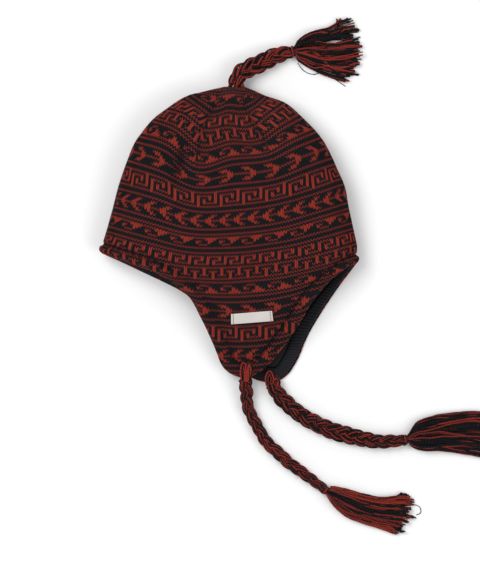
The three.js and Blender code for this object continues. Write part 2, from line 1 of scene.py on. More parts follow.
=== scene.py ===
"""Earflap beanie lying on its side: stitch-by-stitch knit, fleece, rib, plaits and tassels."""

import logging
import math
from dataclasses import dataclass, field
from enum import Enum
from functools import cache
from typing import Callable, Sequence, Union

import bmesh
import bpy
import numpy as np
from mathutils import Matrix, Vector


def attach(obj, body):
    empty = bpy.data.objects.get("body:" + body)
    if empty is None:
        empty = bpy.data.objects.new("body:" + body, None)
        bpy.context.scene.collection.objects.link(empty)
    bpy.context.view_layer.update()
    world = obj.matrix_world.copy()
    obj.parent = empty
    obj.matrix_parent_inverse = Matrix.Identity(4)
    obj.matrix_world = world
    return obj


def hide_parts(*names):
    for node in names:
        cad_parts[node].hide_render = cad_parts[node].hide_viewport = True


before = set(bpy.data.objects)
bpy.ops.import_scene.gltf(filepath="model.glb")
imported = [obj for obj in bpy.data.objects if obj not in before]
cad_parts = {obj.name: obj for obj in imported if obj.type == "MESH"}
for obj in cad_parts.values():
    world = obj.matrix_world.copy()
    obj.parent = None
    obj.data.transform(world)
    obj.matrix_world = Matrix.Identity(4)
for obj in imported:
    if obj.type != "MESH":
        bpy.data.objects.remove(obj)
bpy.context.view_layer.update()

LOG = logging.getLogger("beanie")
MM = 0.001
SEED = 7
FIRST_TASSEL_SEED = 20

# The photograph's frame and its scale
IMAGE_WIDTH_PX = 480
IMAGE_HEIGHT_PX = 570
MM_PER_PX = 1.0
ORIGIN_PX = (229.0, 256.0)

# Fineness of the fibre noise and of the broad one under it
FIBRE_SCALE = 900.0
MOTTLE_SCALE = 60.0

# Shape of one stitch, in shares of its width and height
LEG_ROUNDNESS = 0.6
LOOP_ROUNDNESS = 0.5
LOOP_LOW = 0.45
V_LIFT = 0.62
TOP_GAP = (0.61, 0.77)
FOOT_GAP = (0.20, 0.35)

# Spacing of the points sampled along a chin tie's route, in millimetres
CORD_STEP = 2.0

# Where a vertex of a knitted segment lies
INSIDE, ON_RIM, ON_DART = range(3)

# Length of one turn of a plied yarn, in millimetres
PLY_PITCH = 3.2

# Direction away from the floor
UP = (0.0, 0.0, 1.0)

# A number or an array of them
Value = Union[float, np.ndarray]

# A fixed value or a socket that a node's input reads
Feed = Union[float, tuple, bpy.types.NodeSocket]


class Yarn(Enum):
    """The yarn colours of the hat."""

    BLACK = 0
    RED = 1


def smoothstep(start: Value, end: Value, value: Value) -> np.ndarray:
    """Eases from 0 to 1 between two values.

    Args:
        start: value where the result is 0.
        end: value where the result is 1.
        value: number or array.

    Returns:
        The eased share, of the shape of value.
    """
    share = np.clip((np.asarray(value, float) - start) / (end - start), 0.0, 1.0)
    return share * share * (3.0 - 2.0 * share)


def spline(knots: np.ndarray, table: np.ndarray, at: np.ndarray) -> np.ndarray:
    """Cubic curve through listed points, for many samples at once.

    Args:
        knots: places of the listed points, growing.
        table: their values, one row per sample or one row for all.
        at: where each sample is read.

    Returns:
        One value per sample.
    """
    at = np.asarray(at, float)
    table = np.broadcast_to(table, (at.size, len(knots)))
    last = len(knots) - 1
    low = np.clip(np.searchsorted(knots, at, side="left") - 1, 0, last - 1)
    rises = np.diff(table, axis=1) / np.diff(knots)
    slopes = np.empty_like(table, dtype=float)
    slopes[:, 0] = rises[:, 0]
    slopes[:, last] = rises[:, -1]
    before = np.diff(knots)[:-1]
    after = np.diff(knots)[1:]
    slopes[:, 1:last] = (rises[:, :-1] * after + rises[:, 1:] * before) / (before + after)
    rows = np.arange(at.size)
    span = knots[low + 1] - knots[low]
    t = np.clip((at - knots[low]) / span, 0.0, 1.0)
    t2 = t * t
    t3 = t2 * t
    return (
        (2 * t3 - 3 * t2 + 1) * table[rows, low]
        + (t3 - 2 * t2 + t) * span * slopes[rows, low]
        + (3 * t2 - 2 * t3) * table[rows, low + 1]
        + (t3 - t2) * span * slopes[rows, low + 1]
    )


def unit_rows(vectors: np.ndarray) -> np.ndarray:
    """Each row scaled to length 1."""
    return vectors / np.maximum(np.linalg.norm(vectors, axis=1, keepdims=True), 1e-9)


def lengths_along(line: np.ndarray) -> np.ndarray:
    """Distance of each point of a line from its first, along the line."""
    return np.concatenate([[0], np.cumsum(np.linalg.norm(np.diff(line, axis=0), axis=1))])


def resample(line: np.ndarray, count: int) -> np.ndarray:
    """Points along a line at even spacing.

    Args:
        line: the points of the line.
        count: number of points wanted.

    Returns:
        The new points.
    """
    lengths = lengths_along(line)
    wanted = np.linspace(0, lengths[-1], count)
    return np.stack([np.interp(wanted, lengths, column) for column in line.T], axis=1)


def add_object(name: str, data: bpy.types.ID) -> bpy.types.Object:
    """Makes an object and links it to the scene."""
    made = bpy.data.objects.new(name, data)
    bpy.context.scene.collection.objects.link(made)
    return made


def mesh_piece(
    name: str, points_mm: np.ndarray, faces: list, material: bpy.types.Material
) -> bpy.types.Object:
    """Makes a mesh object with its place in its mesh.

    Args:
        name: name of the piece.
        points_mm: vertices in millimetres.
        faces: vertex lists.
        material: finish of the whole piece.

    Returns:
        The object, linked to the scene.
    """
    mesh = bpy.data.meshes.new(name)
    mesh.from_pydata((np.asarray(points_mm) * MM).tolist(), [], [list(map(int, f)) for f in faces])
    mesh.validate()
    mesh.materials.append(material)
    return add_object(name, mesh)


def deselect_all() -> None:
    """Leaves nothing selected or active."""
    bpy.ops.object.select_all(action="DESELECT")
    bpy.context.view_layer.objects.active = None


def smooth_shade(piece: bpy.types.Object) -> None:
    """Smooth shading all over a piece."""
    deselect_all()
    piece.select_set(True)
    bpy.context.view_layer.objects.active = piece
    bpy.ops.object.shade_smooth()
    deselect_all()


@dataclass(frozen=True)
class CourseRow:
    """One measured course of the hat, as shares of its width, height and depth."""

    course: float
    front: float
    back: float
    side: float
    bulge: float
    drop: float
    crowd: float
    lines: tuple


@dataclass
class HatForm:
    """The smooth outer face of the hat, read by stitch round and course down."""

    width: float = 260.0
    height: float = 293.0
    depth: float = 64.0
    crown_y: float = 169.0
    round_stitches: float = 180.0
    apex_course: float = -64.0
    last_charted: float = 44.0
    course_pitch: float = 1.864
    stitch_pitch: float = 2.9
    flap_droop: float = 4.0
    flap_half_width: float = 50.0
    flap_centre_x: float = 26.0
    flap_tip_z: float = 13.5
    hem_width: float = 13.0
    shell_wall: float = 2.5
    seam_gap: float = 0.35
    lining_wall: float = 2.5
    facing_wall: float = 2.2
    dent_x: float = -50.0
    dent_lean: float = -0.22
    dent_y: float = 96.0
    dent_half_width: float = 11.0
    dent_half_length: float = 30.0
    dent_depth: float = 7.0
    dart_depth: float = 1.4
    dart_half_width: float = 1.6
    first_dart: float = 2.0
    dart_spacing: float = 30.0
    dart_start: tuple = (-58.0, -46.0)
    dart_end: tuple = (-26.0, -12.0)
    droop_courses: float = 32.0
    flatten_before: float = 14.0
    flat_course: float = 106.0
    low_roundness: float = 0.8
    drift_from: float = 6.0
    drift_to: float = 36.0
    search_steps: int = 12
    search_reach: float = 9.0
    probe: float = 0.5
    normal_stitches: float = 0.6
    normal_courses: float = 0.8
    rim_look_ahead: int = 6
    rim_block: int = 4000
    line_shares: tuple = (0, 0.165, 0.325, 0.52, 0.73, 0.86, 1)
    courses: tuple = (
        CourseRow(-64, 0.485, 0.562, 0.250, 0.02, 0.02, 0.10,
                  (0, 0, 0, 0, 0, 0, 0)),
        CourseRow(-51, 0.398, 0.606, 0.300, 0.21, 0.20, 0.06,
                  (0.014, 0.019, 0.024, 0.019, 0.021, 0.018, 0.014)),
        CourseRow(-40, 0.333, 0.644, 0.328, 0.35, 0.30, 0.06,
                  (0.034, 0.066, 0.096, 0.083, 0.085, 0.066, 0.029)),
        CourseRow(-32, 0.253, 0.717, 0.344, 0.46, 0.344, 0.07,
                  (0.078, 0.100, 0.148, 0.142, 0.139, 0.098, 0.056)),
        CourseRow(-24, 0.202, 0.783, 0.352, 0.54, 0.352, 0.08,
                  (0.116, 0.150, 0.215, 0.197, 0.190, 0.147, 0.104)),
        CourseRow(-16, 0.152, 0.837, 0.360, 0.60, 0.360, 0.09,
                  (0.167, 0.201, 0.274, 0.249, 0.233, 0.191, 0.152)),
        CourseRow(-3, 0.110, 0.898, 0.360, 0.64, 0.360, 0.10,
                  (0.251, 0.290, 0.343, 0.333, 0.314, 0.278, 0.242)),
        CourseRow(12, 0.071, 0.944, 0.344, 0.64, 0.344, 0.12,
                  (0.352, 0.388, 0.430, 0.429, 0.404, 0.375, 0.337)),
        CourseRow(25, 0.046, 0.965, 0.328, 0.61, 0.328, 0.14,
                  (0.432, 0.472, 0.507, 0.507, 0.485, 0.454, 0.420)),
        CourseRow(36, 0.027, 0.979, 0.312, 0.58, 0.312, 0.15,
                  (0.498, 0.538, 0.569, 0.572, 0.550, 0.524, 0.489)),
        CourseRow(44, 0.008, 0.990, 0.300, 0.55, 0.300, 0.155,
                  (0.543, 0.589, 0.619, 0.621, 0.602, 0.578, 0.541)),
    )
    upper_rim: tuple = (
        (0, 49.0), (8, 49.1), (15.6, 48.7), (21.4, 49.6), (27, 52.7), (30.6, 57.7),
        (33, 61.7), (36.9, 74.3), (40.4, 86.2), (43.3, 97.1), (46.2, 100.8), (50, 102.4),
        (53.6, 100.9), (57.5, 96.5), (62.8, 86.5), (67.3, 75.8), (70.1, 68.2), (75.5, 60.4),
        (80.3, 56.9), (85, 56.0), (90, 55.8),
    )
    lower_rim: tuple = (
        (0, 49.0), (8, 49.4), (14, 50.3), (21.7, 53.2), (28.6, 56.7), (32.1, 59.9),
        (35.1, 64.5), (40.1, 77.9), (43.6, 88.8), (47.2, 97.4), (51.7, 102.1), (55.6, 105.3),
        (59.2, 106.7), (62.6, 104.8), (65.4, 98.8), (68.7, 86.6), (72.5, 77.7), (77.9, 68.4),
        (82.1, 62.7), (86.1, 58.5), (90, 55.8),
    )
    rim_samples: int = 960
    rim_fineness: int = 24
    rim_loop: np.ndarray = field(init=False)

    def __post_init__(self) -> None:
        """Lays out the rim as evenly spaced points, in stitches and courses."""
        half = self.rim_samples // 2
        upper = self._even(self.upper_rim, half)
        lower = self._even(self.lower_rim, half)[::-1].copy()
        lower[:, 0] = self.round_stitches - lower[:, 0]
        self.rim_loop = np.concatenate([upper, lower[1:-1]])

    def _even(self, rim: tuple, count: int) -> np.ndarray:
        """Centripetal curve through a rim list, sampled evenly by length.

        Args:
            rim: stitch and course pairs.
            count: number of steps.

        Returns:
            Stitch and course of each sample.
        """
        knots = np.array(rim, float) * (self.stitch_pitch, self.course_pitch)
        ends = np.concatenate([[2 * knots[0] - knots[1]], knots, [2 * knots[-1] - knots[-2]]])
        dense = []
        for i in range(1, len(ends) - 2):
            p = ends[i - 1 : i + 3]
            gaps = np.linalg.norm(np.diff(p, axis=0), axis=1) ** 0.5
            steps = np.diff(p, axis=0) / gaps[:, None]
            out = steps[0] - (p[2] - p[0]) / (gaps[0] + gaps[1]) + steps[1]
            into = steps[1] - (p[3] - p[1]) / (gaps[1] + gaps[2]) + steps[2]
            t = np.linspace(0, 1, self.rim_fineness, endpoint=False)[:, None]
            a = out * gaps[1]
            b = into * gaps[1]
            dense.append(
                (2 * t**3 - 3 * t**2 + 1) * p[1] + (t**3 - 2 * t**2 + t) * a
                + (3 * t**2 - 2 * t**3) * p[2] + (t**3 - t**2) * b
            )
        line = np.concatenate([*dense, knots[-1:]])
        return resample(line, count + 1) / (self.stitch_pitch, self.course_pitch)

    def _column(self, name: str) -> np.ndarray:
        """One measure of all the courses."""
        return np.array([getattr(row, name) for row in self.courses], float)

    def point(self, stitch: np.ndarray, course: np.ndarray) -> np.ndarray:
        """Points of the outer face.

        Args:
            stitch: place round the hat.
            course: place down the hat.

        Returns:
            Positions in millimetres.
        """
        stitch = np.mod(np.asarray(stitch, float), self.round_stitches)
        course = np.asarray(course, float)
        half_round = self.round_stitches / 2
        upper = stitch <= half_round
        half = np.where(upper, stitch, self.round_stitches - stitch)
        knots = self._column("course")
        charted = np.minimum(course, self.last_charted)
        read = {
            name: spline(knots, self._column(name), charted)
            for name in ("front", "back", "side", "bulge", "drop", "crowd")
        }
        share = half / half_round
        angle = math.pi * share + read["crowd"] * np.sin(2 * math.pi * share)
        across = (1 - np.cos(angle)) / 2
        rise = np.maximum(0, np.sin(angle))
        front = (read["front"] - 0.5) * self.width
        back = (read["back"] - 0.5) * self.width
        x = front + (back - front) * across
        lines = np.array([row.lines for row in self.courses], float)
        heights = np.stack([spline(knots, lines[:, k], charted) for k in range(7)], axis=1)
        heights = self.crown_y - self.height * heights
        y = spline(np.array(self.line_shares, float), heights, across)
        y = y - np.maximum(0, course - self.last_charted) * self.course_pitch
        from_flap = (x - self.flap_centre_x) / self.flap_half_width
        on_flap = smoothstep(self.last_charted, self.last_charted + self.droop_courses, course)
        y = y + self.flap_droop * from_flap**2 * on_flap
        flatten = smoothstep(self.last_charted - self.flatten_before, self.flat_course, course)
        side = read["side"] * self.depth
        high = (side + read["bulge"] * self.depth * rise) * (1 - flatten) + self.flap_tip_z * flatten
        across_dent = (x - self.dent_x - self.dent_lean * (y - self.dent_y)) / self.dent_half_width
        along_dent = (y - self.dent_y) / self.dent_half_length
        high = high - self.dent_depth * rise * np.exp(-(across_dent**2) - along_dent**2)
        left = np.maximum(0, 1 - rise / self.low_roundness)
        low = side - read["drop"] * self.depth * (1 - left * left)
        return np.stack([x, y, np.where(upper, high, low)], axis=1)

    def find(self, plan: np.ndarray) -> tuple:
        """Stitch and course of places on the upper wall.

        Args:
            plan: x and y in millimetres, one row per place.

        Returns:
            Stitches and courses.
        """
        stitch = np.full(len(plan), self.round_stitches / 4)
        course = np.full(len(plan), self.last_charted)
        for _ in range(self.search_steps):
            here = self.point(stitch, course)
            by_stitch = ((self.point(stitch + self.probe, course) - here)[:, :2] / self.probe).T
            by_course = ((self.point(stitch, course + self.probe) - here)[:, :2] / self.probe).T
            miss = (plan - here[:, :2]).T
            scale = by_stitch[0] * by_course[1] - by_stitch[1] * by_course[0]
            round_step = (miss[0] * by_course[1] - miss[1] * by_course[0]) / scale
            down_step = (miss[1] * by_stitch[0] - miss[0] * by_stitch[1]) / scale
            stitch = stitch + np.clip(round_step, -self.search_reach, self.search_reach)
            course = course + np.clip(down_step, -self.search_reach, self.search_reach)
        return stitch, course

    def normal(self, stitch: np.ndarray, course: np.ndarray) -> np.ndarray:
        """Outward directions of the outer face at stitches and courses."""
        top = np.maximum(self.apex_course, course - self.normal_courses)
        right, left = stitch + self.normal_stitches, stitch - self.normal_stitches
        across = self.point(right, course) - self.point(left, course)
        down = self.point(stitch, course + self.normal_courses) - self.point(stitch, top)
        return unit_rows(np.cross(down, across))

    def dart_inset(self, stitch: np.ndarray, course: np.ndarray) -> np.ndarray:
        """Depth of the crown darts below the smooth face."""
        along = smoothstep(*self.dart_start, course) * (1 - smoothstep(*self.dart_end, course))
        side = self.dart_spacing / 2
        away = np.mod(stitch - self.first_dart + side, self.dart_spacing) - side
        return self.dart_depth * along * np.exp(-((away / self.dart_half_width) ** 2))

    def rim_course(self, stitch: np.ndarray) -> np.ndarray:
        """Course at which the rim crosses each stitch."""
        stitch = np.mod(stitch, self.round_stitches)
        loop = np.concatenate([self.rim_loop, self.rim_loop[:1] + (self.round_stitches, 0)])
        return np.interp(stitch, loop[:, 0], loop[:, 1])

    def rim_frame(self, stitch: np.ndarray, course: np.ndarray) -> tuple:
        """Nearest rim point of each place.

        Args:
            stitch: places round the hat.
            course: places down the hat.

        Returns:
            Distance to the rim in millimetres and the share of the way round.
        """
        scale = np.array([self.stitch_pitch, self.course_pitch])
        count = len(self.rim_loop)
        turn = np.array([self.round_stitches, 0.0])
        loop = np.concatenate([self.rim_loop - turn, self.rim_loop, self.rim_loop + turn]) * scale
        here = np.stack([np.mod(stitch, self.round_stitches), course], axis=1) * scale
        distance = np.empty(len(here))
        share = np.empty(len(here))
        for start in range(0, len(here), self.rim_block):
            block = slice(start, start + self.rim_block)
            gaps = np.linalg.norm(here[block, None, :] - loop[None, :, :], axis=2)
            distance[block] = gaps.min(axis=1)
            share[block] = np.mod(gaps.argmin(axis=1), count) / count
        return distance, share

    def rim_pair(self, share: np.ndarray, inset: float) -> tuple:
        """Rim points and the points inside them.

        Args:
            share: shares of the way round.
            inset: distance of the inner points from the rim.

        Returns:
            Both sets of points, in stitches and courses.
        """
        count = len(self.rim_loop)

        def at(value: np.ndarray) -> np.ndarray:
            """Point of the rim loop at a number of samples from its start."""
            low = np.floor(value).astype(int)
            turn = np.array([self.round_stitches, 0.0])
            first = self.rim_loop[np.mod(low, count)] + (low // count)[:, None] * turn
            second = self.rim_loop[np.mod(low + 1, count)] + ((low + 1) // count)[:, None] * turn
            return first + (second - first) * (value - low)[:, None]

        scale = np.array([self.stitch_pitch, self.course_pitch])
        index = share * count
        here = at(index) * scale
        ahead = unit_rows((at(index + self.rim_look_ahead) - at(index - self.rim_look_ahead)) * scale)
        inside = here + np.stack([ahead[:, 1], -ahead[:, 0]], axis=1) * inset
        return here / scale, inside / scale

    def column_shares(self, columns: int) -> np.ndarray:
        """Shares of the way round of even columns, counted from the first dart."""
        return (self.first_dart + np.arange(columns) * self.round_stitches / columns) / self.round_stitches

    def layer(
        self, columns: int, shares: Sequence, depth: Union[float, Callable], setback: float = 0.0
    ) -> np.ndarray:
        """Rings of a wall layer from the crown to the rim.

        Args:
            columns: points in each ring.
            shares: one per ring, 0 at the crown, 1 at the hem's inner line and 2 at the rim.
            depth: distance below the outer face, or a function of the ring's share.
            setback: how far the layer stops short of the rim.

        Returns:
            Positions in millimetres, ring by ring.
        """
        round_share = self.column_shares(columns)
        rim, inside = self.rim_pair(round_share, self.hem_width)
        top_stitch = round_share * self.round_stitches
        rings = []
        for share in shares:
            if share <= 1:
                course = self.apex_course + (inside[:, 1] - self.apex_course) * share
                pull = smoothstep(self.drift_from, np.maximum(self.drift_to, inside[:, 1]), course)
                stitch = top_stitch + (inside[:, 0] - top_stitch) * pull
            else:
                t = (share - 1) * (1 - setback / self.hem_width)
                stitch = inside[:, 0] + (rim[:, 0] - inside[:, 0]) * t
                course = inside[:, 1] + (rim[:, 1] - inside[:, 1]) * t
            below = depth(share) if callable(depth) else depth
            out = -below - self.dart_inset(stitch, course)
            place = self.point(stitch, course) + self.normal(stitch, course) * np.reshape(out, (-1, 1))
            place[:, 2] = np.maximum(0, place[:, 2])
            rings.append(place)
        return np.array(rings)


@dataclass(frozen=True)
class Band:
    """One band of the knitting chart, listed from its first course down."""

    first: int
    rows: tuple
    shift: int = 0


@dataclass(frozen=True)
class KnitChart:
    """Two-colour chart of traditional bands, repeated down the hat."""

    repeat: int = 75
    course_of_first: int = -26
    full: tuple = (0, 2, 8, 10, 13, 18, 23, 26, 34, 37, 42, 47, 50, 52, 58, 61, 69)
    bands: tuple = (
        Band(4, (".XXX....", "X...X...", "XX..XX..", "...XXXX."), 7),
        Band(15, (".XXX....", "..XXX...", "....XX.."), 5),
        Band(19, ("....XX..", "..XXX...", ".XXX...."), 5),
        Band(27, ("X.......", "X.XXXXX.", "X.X...X.", "X.X.X.X.", "X.X.X...", "X.X.XXXX", "..X....."), 4),
        Band(39, ("..XX.", ".XX..", "XX..."), 3),
        Band(43, ("XX...", ".XX..", "..XX."), 3),
        Band(53, ("...XXXX.", "XX..XX..", "X...X...", ".XXX...."), 6),
        Band(63, ("XXXXX.", "X...X.", "X.XXX.", "X.X...", "X.XXXX"), 4),
        Band(70, ("X.....", "X.XXX.", "X..X..", "XX.X.X", "...X.."), 3),
    )

    def yarn(self, course: int, wale: int) -> Yarn:
        """The yarn of one stitch.

        Args:
            course: row of the stitch, growing down.
            wale: column of the stitch, growing round.

        Returns:
            The colour that faces out.
        """
        row = (course - self.course_of_first) % self.repeat
        if row in self.full:
            return Yarn.RED
        for band in self.bands:
            line = row - band.first
            if 0 <= line < len(band.rows):
                marks = band.rows[line]
                return Yarn.RED if marks[(wale - band.shift) % len(marks)] == "X" else Yarn.BLACK
        return Yarn.BLACK


# Shaders


class NodeGraph:
    """Short calls that add nodes to a node tree and wire them."""

    def __init__(self, tree: bpy.types.NodeTree) -> None:
        """Keeps the tree's nodes and links."""
        self.nodes = tree.nodes
        self.links = tree.links

    def feed(self, value: Feed, inlet: bpy.types.NodeSocket) -> None:
        """Gives an input a socket to read, or a fixed value."""
        if isinstance(value, bpy.types.NodeSocket):
            self.links.new(value, inlet)
        else:
            inlet.default_value = value

    def add(self, kind: str, inputs: dict | None = None, **settings: object) -> bpy.types.Node:
        """Adds a node.

        Args:
            kind: type of the node without its ShaderNode prefix.
            inputs: what each input reads, by its name or number.
            settings: properties of the node, set before the inputs.

        Returns:
            The node.
        """
        node = self.nodes.new(f"ShaderNode{kind}")
        for name, value in settings.items():
            setattr(node, name, value)
        for name, value in (inputs or {}).items():
            self.feed(value, node.inputs[name])
        return node

    def math(self, operation: str, *values: Feed, clamp: bool = False) -> bpy.types.NodeSocket:
        """Adds a maths node.

        Args:
            operation: what the node does.
            values: its one or two numbers or sockets.
            clamp: True keeps the result within 0 and 1.

        Returns:
            The result.
        """
        inputs = dict(enumerate(values))
        return self.add("Math", inputs, operation=operation, use_clamp=clamp).outputs[0]

    def times(self, first: Feed, second: Feed) -> bpy.types.NodeSocket:
        """First times second."""
        return self.math("MULTIPLY", first, second)

    def plus(self, first: Feed, second: Feed, clamp: bool = False) -> bpy.types.NodeSocket:
        """First plus second."""
        return self.math("ADD", first, second, clamp=clamp)

    def minus(self, first: Feed, second: Feed, clamp: bool = False) -> bpy.types.NodeSocket:
        """First minus second."""
        return self.math("SUBTRACT", first, second, clamp=clamp)

    def ramp(self, value: Feed, reach: tuple, low: float = 0.0, high: float = 1.0) -> bpy.types.NodeSocket:
        """Adds a smooth step between two values.

        Args:
            value: what the step reads.
            reach: the values that give low and high.
            low: first result.
            high: last result.

        Returns:
            The result.
        """
        inputs = {"Value": value, "From Min": reach[0], "From Max": reach[1], "To Min": low, "To Max": high}
        return self.add("MapRange", inputs, interpolation_type="SMOOTHSTEP").outputs["Result"]

    def mix(self, factor: Feed, first: Feed, second: Feed) -> bpy.types.NodeSocket:
        """Blends two colours, from the first at 0 to the second at 1."""
        inputs = {"Factor": factor, "A": first, "B": second}
        return self.add("Mix", inputs, data_type="RGBA").outputs["Result"]

    def attribute(self, name: str) -> bpy.types.NodeSocket:
        """Reads a number from an attribute of the mesh."""
        return self.add("Attribute", attribute_name=name).outputs["Fac"]

    def map_axes(self, name: str) -> tuple:
        """Reads a map of the mesh as its two coordinates."""
        spots = self.add("UVMap", uv_map=name).outputs["UV"]
        split = self.add("SeparateXYZ", {"Vector": spots})
        return split.outputs["X"], split.outputs["Y"]


def node_group(name: str, inputs: dict, outputs: tuple) -> tuple:
    """Starts a node group whose sockets are all numbers.

    Args:
        name: name of the group.
        inputs: default of each input by its name.
        outputs: names of the outputs.

    Returns:
        The group, its graph, the sockets that hold its inputs and those that take its outputs.
    """
    group = bpy.data.node_groups.new(name, "ShaderNodeTree")
    for label, value in inputs.items():
        socket = group.interface.new_socket(name=label, in_out="INPUT", socket_type="NodeSocketFloat")
        socket.default_value = value
    for label in outputs:
        group.interface.new_socket(name=label, in_out="OUTPUT", socket_type="NodeSocketFloat")
    inlet = group.nodes.new("NodeGroupInput")
    outlet = group.nodes.new("NodeGroupOutput")
    return group, NodeGraph(group), inlet.outputs, outlet.inputs


@cache
def fibre_group() -> bpy.types.NodeTree:
    """Fine fibre noise of spun yarn.

    Returns:
        The group, made once.
    """
    group, graph, given, wanted = node_group("yarn_fibres", {"Scale": FIBRE_SCALE}, ("Mottle", "Hair"))
    place = graph.add("TexCoord").outputs["Object"]
    fine = graph.add("TexNoise", {"Vector": place, "Scale": given["Scale"], "Detail": 3.0, "Roughness": 0.65})
    broad = graph.add("TexNoise", {"Vector": place, "Scale": MOTTLE_SCALE, "Detail": 2.0})
    both = graph.plus(fine.outputs["Fac"], broad.outputs["Fac"])
    graph.feed(graph.times(both, 0.5), wanted["Mottle"])
    graph.feed(fine.outputs["Fac"], wanted["Hair"])
    return group


@cache
def stitch_group() -> bpy.types.NodeTree:
    """Height and cover of a knitted stitch, from a map with one unit per stitch and course.

    Top and Foot are 1 where the stitch above or below has the other yarn. That yarn then shows
    in the gap between the two courses, and Cover is less than 1 there. The gap follows the V of
    the stitch. Cover also falls between the wales and where the loops cross: partly the black
    yarn showing through, partly painted shade between the loops. The yarn finish also uses
    Height as painted shade.

    Returns:
        The group, made once.
    """
    group, graph, given, wanted = node_group("knit_stitches", {"Top": 0.0, "Foot": 0.0}, ("Height", "Cover"))
    x, y = graph.map_axes("stitches")
    swell = graph.math("ABSOLUTE", graph.math("SINE", graph.times(x, 2 * math.pi)))
    leg = graph.math("POWER", swell, LEG_ROUNDNESS)
    along = graph.math("FRACT", y)
    arch = graph.math("SINE", graph.times(along, math.pi))
    loop = graph.math("POWER", arch, LOOP_ROUNDNESS)
    loop = graph.plus(graph.times(loop, 1 - LOOP_LOW), LOOP_LOW)
    graph.feed(graph.times(leg, loop), wanted["Height"])
    rise = graph.math("ABSOLUTE", graph.minus(graph.times(graph.math("FRACT", x), 2.0), 1.0))
    level = graph.minus(along, graph.times(graph.minus(rise, 0.5), V_LIFT))
    top = graph.times(graph.ramp(level, TOP_GAP), given["Top"])
    foot = graph.times(graph.ramp(level, FOOT_GAP, 1.0, 0.0), given["Foot"])
    closed = graph.minus(1.0, graph.plus(top, foot), clamp=True)
    # Red gives way to black between the wales and where the loops cross: partly black yarn showing through,
    # partly painted shade
    between = graph.ramp(swell, (0.05, 0.45), 0.30, 1.0)
    crossing = graph.ramp(arch, (0.05, 0.40), 0.45, 1.0)
    graph.feed(graph.times(graph.times(between, crossing), closed), wanted["Cover"])
    return group


@cache
def ply_group() -> bpy.types.NodeTree:
    """Twist of a plied yarn, from a map with one unit round and millimetres along.

    Returns:
        The group, made once.
    """
    group, graph, _, wanted = node_group("yarn_plies", {}, ("Height",))
    x, y = graph.map_axes("yarn")
    phase = graph.plus(graph.times(x, 2.0), graph.math("DIVIDE", y, PLY_PITCH))
    wave = graph.math("SINE", graph.times(phase, 2 * math.pi))
    graph.feed(graph.plus(graph.times(wave, 0.5), 0.5), wanted["Height"])
    return group


@dataclass(frozen=True)
class ClothBase:
    """What the finishes share: a matt surface with fibres and a bump."""

    name: str

    def start(self, surface: dict, fibre_scale: float) -> tuple:
        """Starts the material.

        Args:
            surface: values of the surface shader by their names.
            fibre_scale: fineness of the fibres.

        Returns:
            The material, its graph, its surface shader and the outputs of its fibres.
        """
        made = bpy.data.materials.new(self.name)
        made.use_nodes = True
        graph = NodeGraph(made.node_tree)
        shader = graph.nodes["Principled BSDF"]
        for label, value in surface.items():
            shader.inputs[label].default_value = value
        fibres = graph.add("Group", {"Scale": fibre_scale}, node_tree=fibre_group())
        return made, graph, shader, fibres.outputs

    def finish(
        self, graph: NodeGraph, shader: bpy.types.Node, colour: Feed, height: Feed, bump: tuple
    ) -> None:
        """Wires the colour and the bump to the surface.

        Args:
            graph: graph of the material.
            shader: its surface shader.
            colour: colour of the surface.
            height: relief of the surface.
            bump: strength of the bump and its height in millimetres.
        """
        graph.feed(colour, shader.inputs["Base Color"])
        relief = graph.add("Bump", {"Strength": bump[0], "Distance": bump[1] * MM, "Height": height})
        graph.feed(relief.outputs["Normal"], shader.inputs["Normal"])


@dataclass(frozen=True)
class YarnColours:
    """The two yarn colours, as linear light, each as a lit and a shaded copy for painted shade."""

    red: tuple = (0.345, 0.036, 0.020, 1.0)
    red_shaded: tuple = (0.110, 0.011, 0.008, 1.0)
    black: tuple = (0.0024, 0.0027, 0.0036, 1.0)
    black_light: tuple = (0.0080, 0.0086, 0.0108, 1.0)


@dataclass(frozen=True)
class YarnFinish(ClothBase):
    """Two-colour yarn for the knitted face, the plaits and the tassels.

    The faces carry an attribute named red that picks the yarn, and the knitted face a second
    attribute of painted shade that darkens its seam groove, puckers, darts and fold.
    """

    colours: YarnColours
    knitted: bool
    bump_mm: float
    fibre_scale: float = 1100.0
    relief_light: float = 0.75
    fibre_light: float = 0.45
    fibre_height: float = 0.35
    bump_strength: float = 0.8

    def material(self) -> bpy.types.Material:
        """Builds the material.

        Returns:
            The finished material.
        """
        surface = {
            "Roughness": 0.92, "Specular IOR Level": 0.12, "Sheen Weight": 0.03, "Sheen Roughness": 0.5,
        }
        made, graph, shader, fibres = self.start(surface, self.fibre_scale)
        if self.knitted:
            gaps = {name: graph.attribute(f"lone_{name.lower()}") for name in ("Top", "Foot")}
            relief = graph.add("Group", gaps, node_tree=stitch_group()).outputs
        else:
            relief = graph.add("Group", node_tree=ply_group()).outputs
        # Painted shade of the yarn relief: from the shaded copy of each colour in the hollows to the lit copy
        # on the raised legs and plies, with fibre mottle
        raised = graph.times(relief["Height"], self.relief_light)
        shade = graph.plus(raised, graph.times(fibres["Mottle"], self.fibre_light), clamp=True)
        black = graph.mix(shade, self.colours.black, self.colours.black_light)
        red = graph.mix(shade, self.colours.red_shaded, self.colours.red)
        picked = graph.attribute("red")
        if self.knitted:
            picked = graph.times(picked, relief["Cover"])
        shaded_yarn_colour = graph.mix(picked, black, red)
        # Painted shade of the seam groove, puckers, darts and fold darkens the knit toward the shaded black
        if self.knitted:
            shaded_yarn_colour = graph.mix(graph.attribute("crease_shade"), shaded_yarn_colour, self.colours.black)
        height = graph.plus(relief["Height"], graph.times(fibres["Hair"], self.fibre_height))
        self.finish(graph, shader, shaded_yarn_colour, height, (self.bump_strength, self.bump_mm))
        return made


